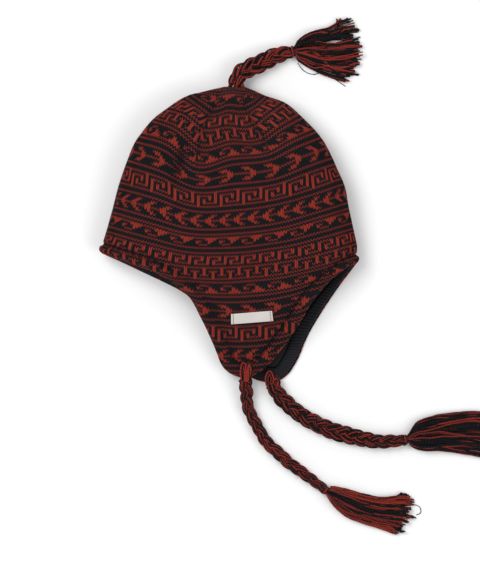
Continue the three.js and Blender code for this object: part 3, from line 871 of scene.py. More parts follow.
@dataclass(frozen=True)
class PlainClothFinish(ClothBase):
    """One-colour cloth with a noise nap, with a painted highlight where an attribute of its mesh marks
    ridges.
    """

    deep: tuple
    light: tuple
    nap_scale: float
    bump_mm: float
    roughness: float = 0.95
    sheen: float = 0.05
    ridge_highlights: str = ""
    nap_share: float = 0.5
    ridge_light: float = 0.75
    bump_strength: float = 0.7

    def material(self) -> bpy.types.Material:
        """Builds the material.

        Returns:
            The finished material.
        """
        surface = {"Roughness": self.roughness, "Specular IOR Level": 0.2, "Sheen Weight": self.sheen}
        made, graph, shader, fibres = self.start(surface, self.nap_scale)
        tone = fibres["Mottle"]
        # Painted highlight on the marked ridges: lighter on their tops, darker between them
        if self.ridge_highlights:
            tone = graph.times(tone, self.nap_share)
            tone = graph.plus(tone, graph.times(graph.attribute(self.ridge_highlights), self.ridge_light), clamp=True)
        colour = graph.mix(tone, self.deep, self.light)
        self.finish(graph, shader, colour, fibres["Hair"], (self.bump_strength, self.bump_mm))
        return made


class Finishes:
    """All the materials of the hat."""

    def __init__(self) -> None:
        """Makes each material once."""
        colours = YarnColours()
        self.knit = YarnFinish("jacquard_knit", colours, True, 1.0).material()
        self.yarn = YarnFinish("plied_yarn", colours, False, 0.5).material()
        self.fleece = PlainClothFinish(
            "black_fleece", (0.003, 0.0033, 0.0042, 1), (0.015, 0.016, 0.0195, 1), 520.0, 1.4
        ).material()
        # Rib colours: painted shade in the valleys and a painted highlight on the rib tops, with nap mottle
        self.rib = PlainClothFinish(
            "black_rib", (0.0010, 0.0011, 0.0016, 1), (0.0135, 0.0145, 0.0185, 1), 1500.0, 0.4, ridge_highlights="rib"
        ).material()
        self.label = PlainClothFinish(
            "woven_label", (0.46, 0.43, 0.405, 1), (0.67, 0.64, 0.61, 1), 1600.0, 0.25, 0.6, 0.0
        ).material()
        self.thread = PlainClothFinish(
            "tan_thread", (0.26, 0.16, 0.085, 1), (0.42, 0.28, 0.16, 1), 2500.0, 0.1, 0.6, 0.0
        ).material()


# Hat


@dataclass
class KnitShell:
    """Outer wall of the hat, one leaning face pair or more for each stitch."""

    form: HatForm
    chart: KnitChart
    material: bpy.types.Material
    segments: int = 6
    wales: int = 29
    upper_cuts: int = 4
    lower_cuts: int = 2
    first_course: int = -63
    last_course: int = 110
    chevron: float = 0.82
    ridge: float = 0.15
    valley: float = 0.55
    groove_at: float = 12.0
    groove_depth: float = 1.9
    groove_width: float = 1.7
    hem_puff: float = 2.6
    drawn_in: float = 2.9
    drawn_left: float = 0.3
    drawn_from: tuple = (-12.0, 8.0)
    # Place and size of the painted shadow along the dent's fold
    fold_x: float = -49.0
    fold_y: float = 94.0
    fold_lean: float = 0.27
    fold_half_width: float = 5.5
    fold_half_length: float = 18.0
    fold_shade: float = 0.85
    soft_from: tuple = (26.0, 31.0)
    soft_to: tuple = (43.0, 48.0)
    puckers: int = 118
    pucker_depth: float = 0.55
    pucker_reach: float = 5.0
    soft_waves: float = 0.7
    wave_rate_x: float = 0.11
    wave_rate_y: float = 0.083
    wave_start: float = 0.7
    wave_bend: float = 1.3
    bend_rate: float = 0.045
    inner_columns: int = 120
    weld_courses: float = 0.02
    wale_courses: tuple = (-64.0, -58.0, -50.0, -40.0, -30.0, -21.0, -12.0)
    wale_counts: tuple = (2.4, 4.2, 8.0, 14.0, 21.0, 26.0)
    top_courses: int = 3
    course_lift: float = 0.8
    touching: float = 1e-6
    relief_fade: float = 1.2
    floor_fade: tuple = (2.0, 12.0)
    flap_softness: float = 0.8
    pucker_sway: float = 1.7
    pucker_turns: float = 23.0
    pucker_edge: float = 3.0
    # Strength of the painted shade in the seam groove, between the puckers and in the darts
    groove_shade: float = 0.62
    groove_shade_swing: float = 0.25
    pucker_shade: float = 0.16
    dart_shade: float = 0.35
    darkest_crease: float = 0.9
    edge_turns: tuple = ((0.15, 0.5), (0.5, 0.85), (0.85, 0.5), (1.0, 0.0))
    edge_probe: float = 2.0
    edge_gap: tuple = (0.35, 0.45)
    edge_gap_step: float = 0.1
    inner_shares: tuple = (
        0.02, 0.06, 0.12, 0.2, 0.3, 0.4, 0.5, 0.6, 0.7, 0.8, 0.9, 1.0, 1.35, 1.7, 1.9,
    )

    def visible_wales(self, course: np.ndarray) -> np.ndarray:
        """Stitches between two darts at a course: they are worked off toward the crown."""
        return np.interp(course, self.wale_courses, (*self.wale_counts, float(self.wales)))

    def _middle(self, segment: int) -> float:
        """Stitch at the middle of a segment."""
        return self.form.first_dart + (segment + 0.5) * self.form.dart_spacing

    def _place(self, segment: int, column: np.ndarray, course: np.ndarray) -> np.ndarray:
        """Stitch coordinate of a column counted from the middle of its segment."""
        side = self.form.dart_spacing / 2
        reach = column / (self.visible_wales(course) / 2) * self.form.dart_spacing / 2
        stitch = self._middle(segment) + np.clip(reach, -side, side)
        turn = 2 * math.pi * (stitch / self.form.round_stitches - 0.25)
        drawn = self.drawn_in * np.sin(turn) + self.drawn_left
        return stitch - drawn * smoothstep(*self.drawn_from, course)

    def _relief(self, column: np.ndarray, cuts: int) -> np.ndarray:
        """Height of the face above or below the smooth form, across a wale."""
        phase = np.mod(column + 0.5, 1.0)
        legs = np.abs(np.sin(2 * math.pi * phase))
        if cuts == 2:
            legs = 1 - np.abs(2 * phase - 1)
        return self.ridge * legs - self.valley * (1 - legs)

    def _lattice(self, segment: int, cuts: int) -> dict:
        """Clipped stitch faces of one segment.

        Args:
            segment: which stretch between two darts.
            cuts: columns of faces in each wale.

        Returns:
            Places, faces and marks of the segment.
        """
        half = self.wales / 2
        columns = np.linspace(-half, half, self.wales * cuts + 1)
        rows = np.arange(self.first_course, self.last_course + 1)
        grid_q, grid_r = np.meshgrid(columns, rows)
        q = grid_q.ravel()
        row = grid_r.ravel().astype(float)
        lean = 1 - np.abs(2 * np.mod(q + 0.5, 1.0) - 1)
        fade = smoothstep(self.first_course, self.first_course + self.top_courses, row)
        course = row - self.course_lift + self.chevron * lean * fade
        course = np.maximum(course, self.form.apex_course)
        inside_dart = self.visible_wales(course) / 2 + self.touching - np.abs(q)
        stitch = self._place(segment, q, course)
        inside_rim = self.form.rim_course(stitch) - course
        keep = (inside_dart >= 0) & (inside_rim >= 0)
        width = len(columns)
        points = {"q": list(q), "c": list(course), "r": list(row), "edge": [INSIDE] * len(q)}
        cut_cache: dict = {}

        def cut(a: int, b: int) -> int:
            """Adds the vertex where an edge leaves the segment, once for each edge."""
            key = (min(a, b), max(a, b))
            if key in cut_cache:
                return cut_cache[key]
            inner, outer = (a, b) if keep[a] else (b, a)
            by_dart = inside_dart[outer] < 0
            test = inside_dart if by_dart else inside_rim
            t = test[inner] / (test[inner] - test[outer])
            if by_dart and inside_rim[outer] < 0:
                t = min(t, inside_rim[inner] / (inside_rim[inner] - inside_rim[outer]))
            for name, source in (("q", q), ("c", course), ("r", row)):
                points[name].append(source[inner] + (source[outer] - source[inner]) * t)
            points["edge"].append(ON_DART if by_dart else ON_RIM)
            cut_cache[key] = len(points["q"]) - 1
            return cut_cache[key]

        faces = []
        marks = []
        for r in range(len(rows) - 1):
            base = r * width
            counts = (
                keep[base : base + width - 1].astype(int) + keep[base + 1 : base + width]
                + keep[base + width : base + 2 * width - 1] + keep[base + width + 1 : base + 2 * width]
            )
            for i in np.nonzero(counts)[0]:
                corner = (base + i, base + i + 1, base + width + i + 1, base + width + i)
                wale = int(math.floor((columns[i] + columns[i + 1]) / 2 + half))
                if counts[i] == 4:
                    face = list(corner)
                else:
                    face = []
                    for k in range(4):
                        a, b = corner[k], corner[(k + 1) % 4]
                        if keep[a]:
                            face.append(a)
                        if keep[a] != keep[b]:
                            face.append(cut(a, b))
                    if len(face) < 3:
                        continue
                faces.append(face)
                marks.append((rows[r], wale))
        return {"points": points, "faces": faces, "marks": marks}

    def _weld_darts(self, faces: list, on_dart: np.ndarray, course: np.ndarray) -> list:
        """Gives the two sides of each dart the same vertices.

        Args:
            faces: vertex lists.
            on_dart: the dart that each vertex lies on, or -1.
            course: course of each vertex.

        Returns:
            The faces with shared vertices along the darts.
        """
        stands_for = np.arange(len(course))
        rank = np.full(len(course), -1)
        chains = []
        for dart in range(self.segments):
            members = np.nonzero(on_dart == dart)[0]
            members = members[np.argsort(course[members], kind="stable")]
            chain = []
            for k in members:
                if chain and course[k] - course[chain[-1]] < self.weld_courses:
                    stands_for[k] = chain[-1]
                else:
                    chain.append(int(k))
                rank[k] = len(chain) - 1
            chains.append(chain)
        welded = []
        for face in faces:
            loop = []
            for a, b in zip(face, face[1:] + face[:1]):
                loop.append(int(stands_for[a]))
                if on_dart[a] >= 0 and on_dart[a] == on_dart[b] and rank[a] != rank[b]:
                    step = 1 if rank[b] > rank[a] else -1
                    loop.extend(chains[on_dart[a]][k] for k in range(rank[a] + step, rank[b], step))
            welded.append([k for n, k in enumerate(loop) if k != loop[n - 1]])
        return welded

    def build(self) -> bpy.types.Object:
        """Builds the shell.

        Returns:
            The closed piece.
        """
        places, faces, marks, map_points, on_dart = [], [], [], [], []
        offset = 0
        for segment in range(self.segments):
            cuts = self.upper_cuts if segment < self.segments // 2 else self.lower_cuts
            made = self._lattice(segment, cuts)
            used = sorted({k for face in made["faces"] for k in face})
            renumber = {k: offset + n for n, k in enumerate(used)}
            q = np.array(made["points"]["q"])[used]
            course = np.array(made["points"]["c"])[used]
            row = np.array(made["points"]["r"])[used]
            edge = np.array(made["points"]["edge"])[used]
            stitch = self._place(segment, q, course)
            dart_side = self._middle(segment) + np.sign(q) * self.form.dart_spacing / 2
            stitch = np.where(edge == ON_DART, dart_side, stitch)
            relief = self._relief(q, cuts)
            places.append(np.stack([stitch, course, relief], axis=1))
            map_points.append(np.stack([q + segment * self.wales + self.wales / 2, -row], axis=1))
            at_side = (edge == ON_DART) | (np.abs(np.abs(q) - self.wales / 2) < self.touching)
            dart = (segment + (q > 0)) % self.segments
            on_dart.append(np.where(at_side, dart, -1))
            faces.extend([[renumber[k] for k in face] for face in made["faces"]])
            marks.extend([(r, w + segment * self.wales) for r, w in made["marks"]])
            offset += len(used)
        stitch, course, relief = np.concatenate(places).T
        map_points = np.concatenate(map_points)
        faces = self._weld_darts(faces, np.concatenate(on_dart), course)
        outer, crease_shade = self._settle(stitch, course, relief)
        return self._mesh(outer, stitch, course, crease_shade, faces, marks, map_points)

    def _settle(self, stitch: np.ndarray, course: np.ndarray, relief: np.ndarray) -> tuple:
        """Places the face with its darts, hem roll, seam groove, puckers and soft waves.

        Args:
            stitch: stitch of each vertex.
            course: course of each vertex.
            relief: height of the knit above the smooth face.

        Returns:
            Positions in millimetres and the painted shade of the seam groove, puckers, darts and fold.
        """
        distance, round_share = self.form.rim_frame(stitch, course)
        inset = self.form.dart_inset(stitch, course)
        out = relief * smoothstep(0, self.relief_fade, distance)
        out = out - inset
        outer = self.form.point(stitch, course)
        x, y = outer[:, 0], outer[:, 1]
        upper = smoothstep(*self.floor_fade, outer[:, 2])
        hem = np.clip(distance / self.groove_at, 0, 1)
        out = out + upper * self.hem_puff * np.sin(math.pi * hem)
        flap_edge = smoothstep(*self.soft_from, stitch) * (1 - smoothstep(*self.soft_to, stitch))
        from_groove = distance - self.groove_at
        sewn = np.exp(-((from_groove / self.groove_width) ** 2)) * (1 - self.flap_softness * flap_edge)
        out = out - upper * self.groove_depth * sewn
        sway = self.pucker_sway * np.sin(self.pucker_turns * round_share * math.pi)
        gathered = np.sin(2 * math.pi * self.puckers * round_share + sway)
        near_seam = np.exp(-((from_groove / self.pucker_reach) ** 2))
        near_seam = near_seam * smoothstep(0, self.pucker_edge, distance)
        out = out + upper * self.pucker_depth * near_seam * gathered
        # Painted shade in the seam groove, between the puckers and in the darts
        shaded = sewn * (self.groove_shade - self.groove_shade_swing * gathered)
        shaded = shaded + self.pucker_shade * near_seam * (1 - gathered)
        darts = self.dart_shade * inset / self.form.dart_depth
        crease_shade = np.clip(upper * shaded + darts, 0, self.darkest_crease)
        # Painted shadow along the dent's fold
        from_fold = x - self.fold_x - self.fold_lean * (y - self.fold_y)
        along_fold = (y - self.fold_y) / self.fold_half_length
        fold = np.exp(-((from_fold / self.fold_half_width) ** 2) - along_fold**2)
        crease_shade = np.maximum(crease_shade, upper * self.fold_shade * fold)
        bend = self.wave_bend * np.sin(y * self.bend_rate)
        waves = np.sin(x * self.wave_rate_x + bend) * np.sin(y * self.wave_rate_y + self.wave_start)
        out = out + upper * self.soft_waves * waves
        outer = outer + self.form.normal(stitch, course) * out[:, None]
        outer[:, 2] = np.maximum(0, outer[:, 2])
        return outer, crease_shade

    def _mesh(
        self, outer: np.ndarray, stitch: np.ndarray, course: np.ndarray, crease_shade: np.ndarray,
        faces: list, marks: list, map_points: np.ndarray,
    ) -> bpy.types.Object:
        """Welds the segments, closes the rim and the crown and adds the inner wall.

        Args:
            outer: positions in millimetres.
            stitch: stitch of each vertex.
            course: course of each vertex.
            crease_shade: painted shade of the seam groove, puckers, darts and fold at each vertex.
            faces: vertex lists.
            marks: course and wale of each face.
            map_points: place of each vertex on the map of stitches.

        Returns:
            The closed piece.
        """
        mesh = bpy.data.meshes.new("knit_shell_dressed")
        work = bmesh.new()
        layer_uv = work.loops.layers.uv.new("stitches")
        layer_red = work.faces.layers.float.new("red")
        layer_top = work.faces.layers.float.new("lone_top")
        layer_foot = work.faces.layers.float.new("lone_foot")
        stitch_of = work.verts.layers.float.new("stitch")
        course_of = work.verts.layers.float.new("course")
        # Painted shade of the creases, read by the yarn finish
        crease_of = work.verts.layers.float.new("crease_shade")
        verts = {}
        for k in sorted({k for face in faces for k in face}):
            verts[k] = work.verts.new(Vector(outer[k] * MM))
            verts[k][stitch_of] = stitch[k]
            verts[k][course_of] = course[k]
            verts[k][crease_of] = crease_shade[k]
        for face, (row, wale) in zip(faces, marks):
            if len(set(face)) < 3:
                continue
            made = work.faces.new([verts[k] for k in reversed(face)])
            row, wale = int(row), int(wale)
            yarn = self.chart.yarn(row, wale)
            made[layer_red] = float(yarn.value)
            made[layer_top] = float(self.chart.yarn(row - 1, wale) is not yarn)
            made[layer_foot] = float(self.chart.yarn(row + 1, wale) is not yarn)
            made.smooth = True
            for loop, k in zip(made.loops, reversed(face)):
                loop[layer_uv].uv = map_points[k]
        self._close(work, stitch_of, course_of, layer_uv, layer_red)
        work.to_mesh(mesh)
        work.free()
        mesh.materials.append(self.material)
        return add_object("knit_shell_dressed", mesh)

    def _loops(self, edges: list) -> list:
        """Orders boundary edges into closed loops of vertices.

        Args:
            edges: the edges.

        Returns:
            The loops, from the longest down, the same on every run.
        """
        next_to: dict = {}
        for edge in edges:
            a, b = edge.verts
            next_to.setdefault(a, []).append(b)
            next_to.setdefault(b, []).append(a)
        left = dict.fromkeys(next_to)
        loops = []
        while left:
            here = next(iter(left))
            del left[here]
            loop = [here]
            before = None
            while True:
                onward = [v for v in next_to[here] if v is not before and v in left]
                if not onward:
                    break
                before, here = here, onward[0]
                del left[here]
                loop.append(here)
            loops.append(loop)
        return sorted(loops, key=len, reverse=True)

    def _close(
        self, work: bmesh.types.BMesh, stitch_of: bmesh.types.BMLayerItem,
        course_of: bmesh.types.BMLayerItem, layer_uv: bmesh.types.BMLayerItem,
        layer_red: bmesh.types.BMLayerItem,
    ) -> None:
        """Turns the rim over a rounded edge, adds the inner wall and caps the crown.

        Args:
            work: mesh with the outer face, open at the rim and the crown.
            stitch_of: layer with the stitch of each vertex.
            course_of: layer with the course of each vertex.
            layer_uv: map of the stitches.
            layer_red: layer that picks the yarn of each face.
        """
        open_edges = [edge for edge in work.edges if edge.is_boundary]
        loops = self._loops(open_edges)
        LOG.info("boundary loops: %s", [len(loop) for loop in loops])
        rim_loop = loops[0]
        beside = {frozenset(edge.verts): edge.link_faces[0] for edge in open_edges}
        stitch = np.array([v[stitch_of] for v in rim_loop])
        course = np.array([v[course_of] for v in rim_loop])
        normal = self.form.normal(stitch, course)
        place = np.array([v.co for v in rim_loop]) / MM
        _, share = self.form.rim_frame(stitch, course)
        rim_here, rim_inside = (self.form.point(*at.T) for at in self.form.rim_pair(share, self.edge_probe))
        outward = unit_rows(rim_here - rim_inside)
        wall = self.form.shell_wall
        rings = [rim_loop]
        for depth, beyond in self.edge_turns:
            ring = place - normal * wall * depth + outward * beyond
            ring[:, 2] = np.maximum(0.0, ring[:, 2])
            rings.append([work.verts.new(Vector(p * MM)) for p in ring])
        count = len(rim_loop)
        fresh = []
        turned = []
        pairs = zip(rim_loop, rim_loop[1:] + rim_loop[:1])
        yarns = [beside[frozenset(pair)][layer_red] for pair in pairs]
        wales = stitch / self.form.round_stitches * self.segments * self.wales
        for level, (a, b) in enumerate(zip(rings, rings[1:])):
            for i in range(count):
                j = (i + 1) % count
                face = work.faces.new((a[i], a[j], b[j], b[i]))
                face[layer_red] = yarns[i]
                top, foot = (at + self.edge_gap_step * level for at in self.edge_gap)
                spots = ((wales[i], top), (wales[j], top), (wales[j], foot), (wales[i], foot))
                for loop, spot in zip(face.loops, spots):
                    loop[layer_uv].uv = spot
                turned.append(face)
        inner = self.form.layer(self.inner_columns, self.inner_shares, wall)
        grid = [[work.verts.new(Vector(p * MM)) for p in ring] for ring in inner]
        for a, b in zip(grid, grid[1:]):
            for i in range(self.inner_columns):
                j = (i + 1) % self.inner_columns
                fresh.append(work.faces.new((a[i], a[j], b[j], b[i])))
        inner_cap = work.verts.new(Vector(inner[0].mean(axis=0) * MM))
        for i in range(self.inner_columns):
            fresh.append(work.faces.new((inner_cap, grid[0][(i + 1) % self.inner_columns], grid[0][i])))
        fresh.extend(self._zip(work, rings[-1], share, grid[-1], self.form.column_shares(self.inner_columns)))
        for loop in loops[1:]:
            hub = work.verts.new(sum((v.co for v in loop), Vector()) / len(loop))
            for a, b in zip(loop, loop[1:] + loop[:1]):
                fresh.append(work.faces.new((hub, a, b)))
        for face in fresh + turned:
            face.smooth = True
        bmesh.ops.recalc_face_normals(work, faces=work.faces)

    @staticmethod
    def _zip(
        work: bmesh.types.BMesh, first: list, first_share: np.ndarray, second: list, second_share: np.ndarray
    ) -> list:
        """Joins two rings of unlike counts, matching the shares of the way round.

        Args:
            work: mesh that holds both rings.
            first: vertices of one ring.
            first_share: their shares of the way round.
            second: vertices of the other ring.
            second_share: their shares of the way round, growing.

        Returns:
            The new faces.
        """
        fresh = []
        start = int(np.argmin(first_share))
        forward = np.mod(first_share[(start + 5) % len(first)] - first_share[start], 1.0) < 0.5
        step = 1 if forward else -1
        order = [(start + step * k) % len(first) for k in range(len(first))]
        a = [first[k] for k in order]
        a_share = np.maximum.accumulate(first_share[order])
        b_start = int(np.argmin(second_share))
        b = [second[(b_start + k) % len(second)] for k in range(len(second))]
        b_share = np.sort(np.mod(second_share, 1.0))
        a_ends = [*a_share[1:], 1.0 + a_share[0], math.inf]
        b_ends = [*b_share[1:], 1.0 + b_share[0], math.inf]
        i = j = 0
        while i < len(a) or j < len(b):
            next_a, next_b = a_ends[i], b_ends[j]
            va, vb = a[i % len(a)], b[j % len(b)]
            if next_a <= next_b and i < len(a):
                fresh.append(work.faces.new((va, a[(i + 1) % len(a)], vb)))
                i += 1
            else:
                fresh.append(work.faces.new((va, b[(j + 1) % len(b)], vb)))
                j += 1
        return fresh


def walled_rings(
    name: str, outer: np.ndarray, inner: np.ndarray, capped: bool, material: bpy.types.Material
) -> bpy.types.Object:
    """Closed wall from an outer and an inner set of rings.

    Args:
        name: name of the piece.
        outer: rings of the outer face.
        inner: rings of the inner face.
        capped: True closes each face at its first ring, and False joins the two there.
        material: finish of the piece.

    Returns:
        The piece.
    """
    rings, columns, _ = outer.shape
    inner_rings = len(inner)
    points = np.concatenate([outer.reshape(-1, 3), inner.reshape(-1, 3)])
    faces = []

    def strip(a: int, b: int) -> None:
        """Adds the faces between two rings that start at vertices a and b."""
        for i in range(columns):
            j = (i + 1) % columns
            faces.append((a + i, a + j, b + j, b + i))

    base = rings * columns
    for k in range(rings - 1):
        strip(k * columns, (k + 1) * columns)
    for k in range(inner_rings - 1):
        strip(base + (k + 1) * columns, base + k * columns)
    strip((rings - 1) * columns, base + (inner_rings - 1) * columns)
    if capped:
        points = np.concatenate([points, [outer[0].mean(axis=0)], [inner[0].mean(axis=0)]])
        hub = len(points) - 2
        for i in range(columns):
            j = (i + 1) % columns
            faces.append((hub, j, i))
            faces.append((hub + 1, base + i, base + j))
    else:
        strip(base, 0)
    piece = mesh_piece(name, points, faces, material)
    work = bmesh.new()
    work.from_mesh(piece.data)
    bmesh.ops.recalc_face_normals(work, faces=work.faces)
    work.to_mesh(piece.data)
    work.free()
    smooth_shade(piece)
    return piece


@dataclass
class Lining:
    """Fleece that lines the hat up to the facing."""

    form: HatForm
    material: bpy.types.Material
    columns: int = 160
    rings: int = 34
    first_share: float = 0.03
    last_share: float = 0.994
    fluff: float = 0.5

    def build(self) -> bpy.types.Object:
        """Builds the lining.

        Returns:
            The piece.
        """
        top = self.form.shell_wall + self.form.seam_gap
        reach = self.last_share - self.first_share
        shares = [self.first_share + reach * t for t in np.linspace(0, 1, self.rings)]
        random = np.random.default_rng(SEED)
        bumps = random.random((self.rings, self.columns))

        def inner_depth(share: float) -> np.ndarray:
            """Depth of the wall's inner face in the ring with this share."""
            return top + self.form.lining_wall - self.fluff * bumps[shares.index(share)]

        outer = self.form.layer(self.columns, shares, top)
        inner = self.form.layer(self.columns, shares, inner_depth)
        return walled_rings("fleece_lining_dressed", outer, inner, True, self.material)


@dataclass
class Facing:
    """Ribbed band inside the rim, with its ribs square to the edge."""

    form: HatForm
    material: bpy.types.Material
    ribs: int = 270
    setback: float = 0.9
    rib_depth: float = 1.3
    rib_profile: tuple = (0.0, 0.85, 1.0, 0.85)
    extra_wall: float = 0.5
    ring_shares: tuple = (1.0, 1.12, 1.4, 1.7, 1.9, 2.0)
    ring_thickness: tuple = (0.3, 0.85, 1.0, 1.0, 0.9, 0.5)

    def build(self) -> bpy.types.Object:
        """Builds the facing.

        Returns:
            The piece.
        """
        top = self.form.shell_wall + self.form.seam_gap
        raised = np.tile(self.rib_profile, self.ribs)
        columns = len(raised)
        ridge = self.rib_depth * (1 - raised)
        roll = dict(zip(self.ring_shares, self.ring_thickness))

        def inner_depth(share: float) -> np.ndarray:
            """Depth of the wall's inner face in the ring with this share."""
            return top + (self.form.facing_wall + self.extra_wall - ridge) * roll[share]

        outer = self.form.layer(columns, self.ring_shares, top, self.setback)
        inner = self.form.layer(columns, self.ring_shares, inner_depth, self.setback)
        piece = walled_rings("ribbed_facing_dressed", outer, inner, False, self.material)
        # Rib tops marked for the painted highlight of the rib finish
        marks = piece.data.attributes.new("rib", "FLOAT", "POINT")
        marks.data.foreach_set("value", np.tile(raised, 2 * len(self.ring_shares)))
        return piece


@dataclass
class FlapLabel:
    """Blank woven label sewn to the flap at both ends."""

    form: HatForm
    material: bpy.types.Material
    thread: bpy.types.Material
    top_left: tuple = (231.0, 314.0)
    top_right: tuple = (271.9, 310.7)
    foot_right: tuple = (273.2, 320.9)
    foot_left: tuple = (231.1, 324.2)
    gap: float = 1.2
    wall: float = 0.8
    sag: float = 0.3
    edge_radius: float = 0.2
    stitches_each_end: int = 5
    sewn_at: tuple = (0.05, 0.945)
    thread_radius: float = 0.36
    thread_height: float = 0.6
    thread_slant: float = 0.004
    thread_reach: float = 0.07

    def build(self) -> list:
        """Builds the label and its stitches.

        Returns:
            The two pieces.
        """
        deselect_all()
        bpy.ops.mesh.primitive_grid_add(x_subdivisions=28, y_subdivisions=8, size=2)
        plate = bpy.context.active_object
        plate.name = "flap_label_dressed"
        flat = np.array([v.co for v in plate.data.vertices])
        sag = self.sag * (1 - flat[:, 0] ** 4) * (1 - 0.5 * flat[:, 1] ** 2)
        place = self._spot((flat[:, 0] + 1) / 2, (1 - flat[:, 1]) / 2, self.gap + sag)
        for vert, p in zip(plate.data.vertices, place):
            vert.co = Vector(p * MM)
        plate.data.materials.clear()
        plate.data.materials.append(self.material)
        bpy.context.view_layer.objects.active = plate
        plate.select_set(True)
        solid = plate.modifiers.new("thickness", "SOLIDIFY")
        solid.thickness = self.wall * MM
        solid.offset = 0.0
        bpy.ops.object.modifier_apply(modifier=solid.name)
        round_edge = plate.modifiers.new("soft_edge", "BEVEL")
        round_edge.width = self.edge_radius * MM
        round_edge.segments = 2
        bpy.ops.object.modifier_apply(modifier=round_edge.name)
        smooth_shade(plate)
        return [plate, self._stitches()]

    def _spot(self, along: np.ndarray, down: np.ndarray, lift: np.ndarray) -> np.ndarray:
        """Places over the flap, from shares of the label's length and height.

        Args:
            along: 0 at the left end, 1 at the right end.
            down: 0 at the top edge, 1 at the foot.
            lift: height above the knit in millimetres.

        Returns:
            Positions in millimetres.
        """
        corners = np.array([self.top_left, self.top_right, self.foot_right, self.foot_left])
        back, up = 1 - along, 1 - down
        weights = np.stack([back * up, along * up, along * down, back * down], axis=1)
        spot = weights @ corners
        plan = np.stack([spot[:, 0] - ORIGIN_PX[0], ORIGIN_PX[1] - spot[:, 1]], axis=1) * MM_PER_PX
        stitch, course = self.form.find(plan)
        height = self.form.point(stitch, course)[:, 2]
        return np.stack([plan[:, 0], plan[:, 1], height + lift], axis=1)

    def _stitches(self) -> bpy.types.Object:
        """Tan stitches across both ends of the label.

        Returns:
            The stitches as one piece.
        """
        lines = []
        lift = self.gap + self.wall / 2 + np.array([0.0, self.thread_height, 0.0])
        for end in self.sewn_at:
            for k in range(self.stitches_each_end):
                t = (k + 0.5) / self.stitches_each_end
                u = end + self.thread_slant * np.arange(3)
                v = t + self.thread_reach * np.arange(-1, 2)
                lines.append(self._spot(u, v, lift))
        count = len(lines)
        bundle = YarnBundle("label_stitches", self.thread, sides=5)
        return bundle.build(lines, [self.thread_radius] * count, [0] * count)


# Yarn work


@dataclass
class YarnBundle:
    """Many yarns as one mesh of tubes."""

    name: str
    material: bpy.types.Material
    sides: int = 6

    def build(self, lines: list, radii: list, reds: list) -> bpy.types.Object:
        """Makes the tubes.

        Args:
            lines: centre lines in millimetres.
            radii: one radius per line, or an array of one per point.
            reds: from 0 for a black yarn to 1 for the brightest red one.

        Returns:
            The piece.
        """
        points, faces, marks, uvs = [], [], [], []
        start = 0
        turn = np.arange(self.sides) * 2 * math.pi / self.sides
        for line, radius, red in zip(lines, radii, reds):
            line = np.asarray(line, float)
            count = len(line)
            radius = np.broadcast_to(radius, count)
            tangent = unit_rows(np.gradient(line, axis=0))
            across, over = self._frames(tangent)
            ring = across[:, None] * np.cos(turn)[:, None] + over[:, None] * np.sin(turn)[:, None]
            ring = ring * radius[:, None, None] + line[:, None]
            points.append(ring.reshape(-1, 3))
            length = lengths_along(line)
            for k in range(count - 1):
                for i in range(self.sides):
                    j = (i + 1) % self.sides
                    a, b = start + k * self.sides, start + (k + 1) * self.sides
                    faces.append((a + i, a + j, b + j, b + i))
                    u0, u1 = i / self.sides, (i + 1) / self.sides
                    v0, v1 = length[k], length[k + 1]
                    uvs.extend([(u0, v0), (u1, v0), (u1, v1), (u0, v1)])
                    marks.append(red)
            for end, flip in ((0, True), (count - 1, False)):
                rim = [start + end * self.sides + i for i in range(self.sides)]
                faces.append(rim[::-1] if flip else rim)
                uvs.extend([(0.5, length[end])] * self.sides)
                marks.append(red)
            start += count * self.sides
        piece = mesh_piece(self.name, np.concatenate(points), faces, self.material)
        layer = piece.data.attributes.new("red", "FLOAT", "FACE")
        layer.data.foreach_set("value", np.array(marks, float))
        spots = piece.data.uv_layers.new(name="yarn")
        spots.data.foreach_set("uv", np.array(uvs, float).ravel())
        smooth_shade(piece)
        return piece

    @staticmethod
    def _frames(tangent: np.ndarray) -> tuple:
        """Directions round a line that don't twist.

        Args:
            tangent: direction of the line at each point.

        Returns:
            Two directions across the line at each point, square to each other.
        """
        across = np.empty_like(tangent)
        start = np.cross(tangent[0], UP)
        if np.linalg.norm(start) < 1e-3:
            start = np.cross(tangent[0], (0.0, 1.0, 0.0))
        across[0] = start / np.linalg.norm(start)
        for k in range(1, len(tangent)):
            turned = across[k - 1] - tangent[k] * np.dot(across[k - 1], tangent[k])
            across[k] = turned / max(np.linalg.norm(turned), 1e-9)
        return across, np.cross(tangent, across)


def even_line(points: Sequence, step: float) -> np.ndarray:
    """Smooth line through points, sampled evenly.

    Args:
        points: places in millimetres.
        step: spacing of the samples.

    Returns:
        The samples.
    """
    knots = np.array(points, float)
    gaps = lengths_along(knots)
    fine = np.linspace(0, gaps[-1], max(8, int(gaps[-1] * 4)))
    dense = np.stack([spline(gaps, column, fine) for column in knots.T], axis=1)
    return resample(dense, max(2, int(round(lengths_along(dense)[-1] / step)) + 1))


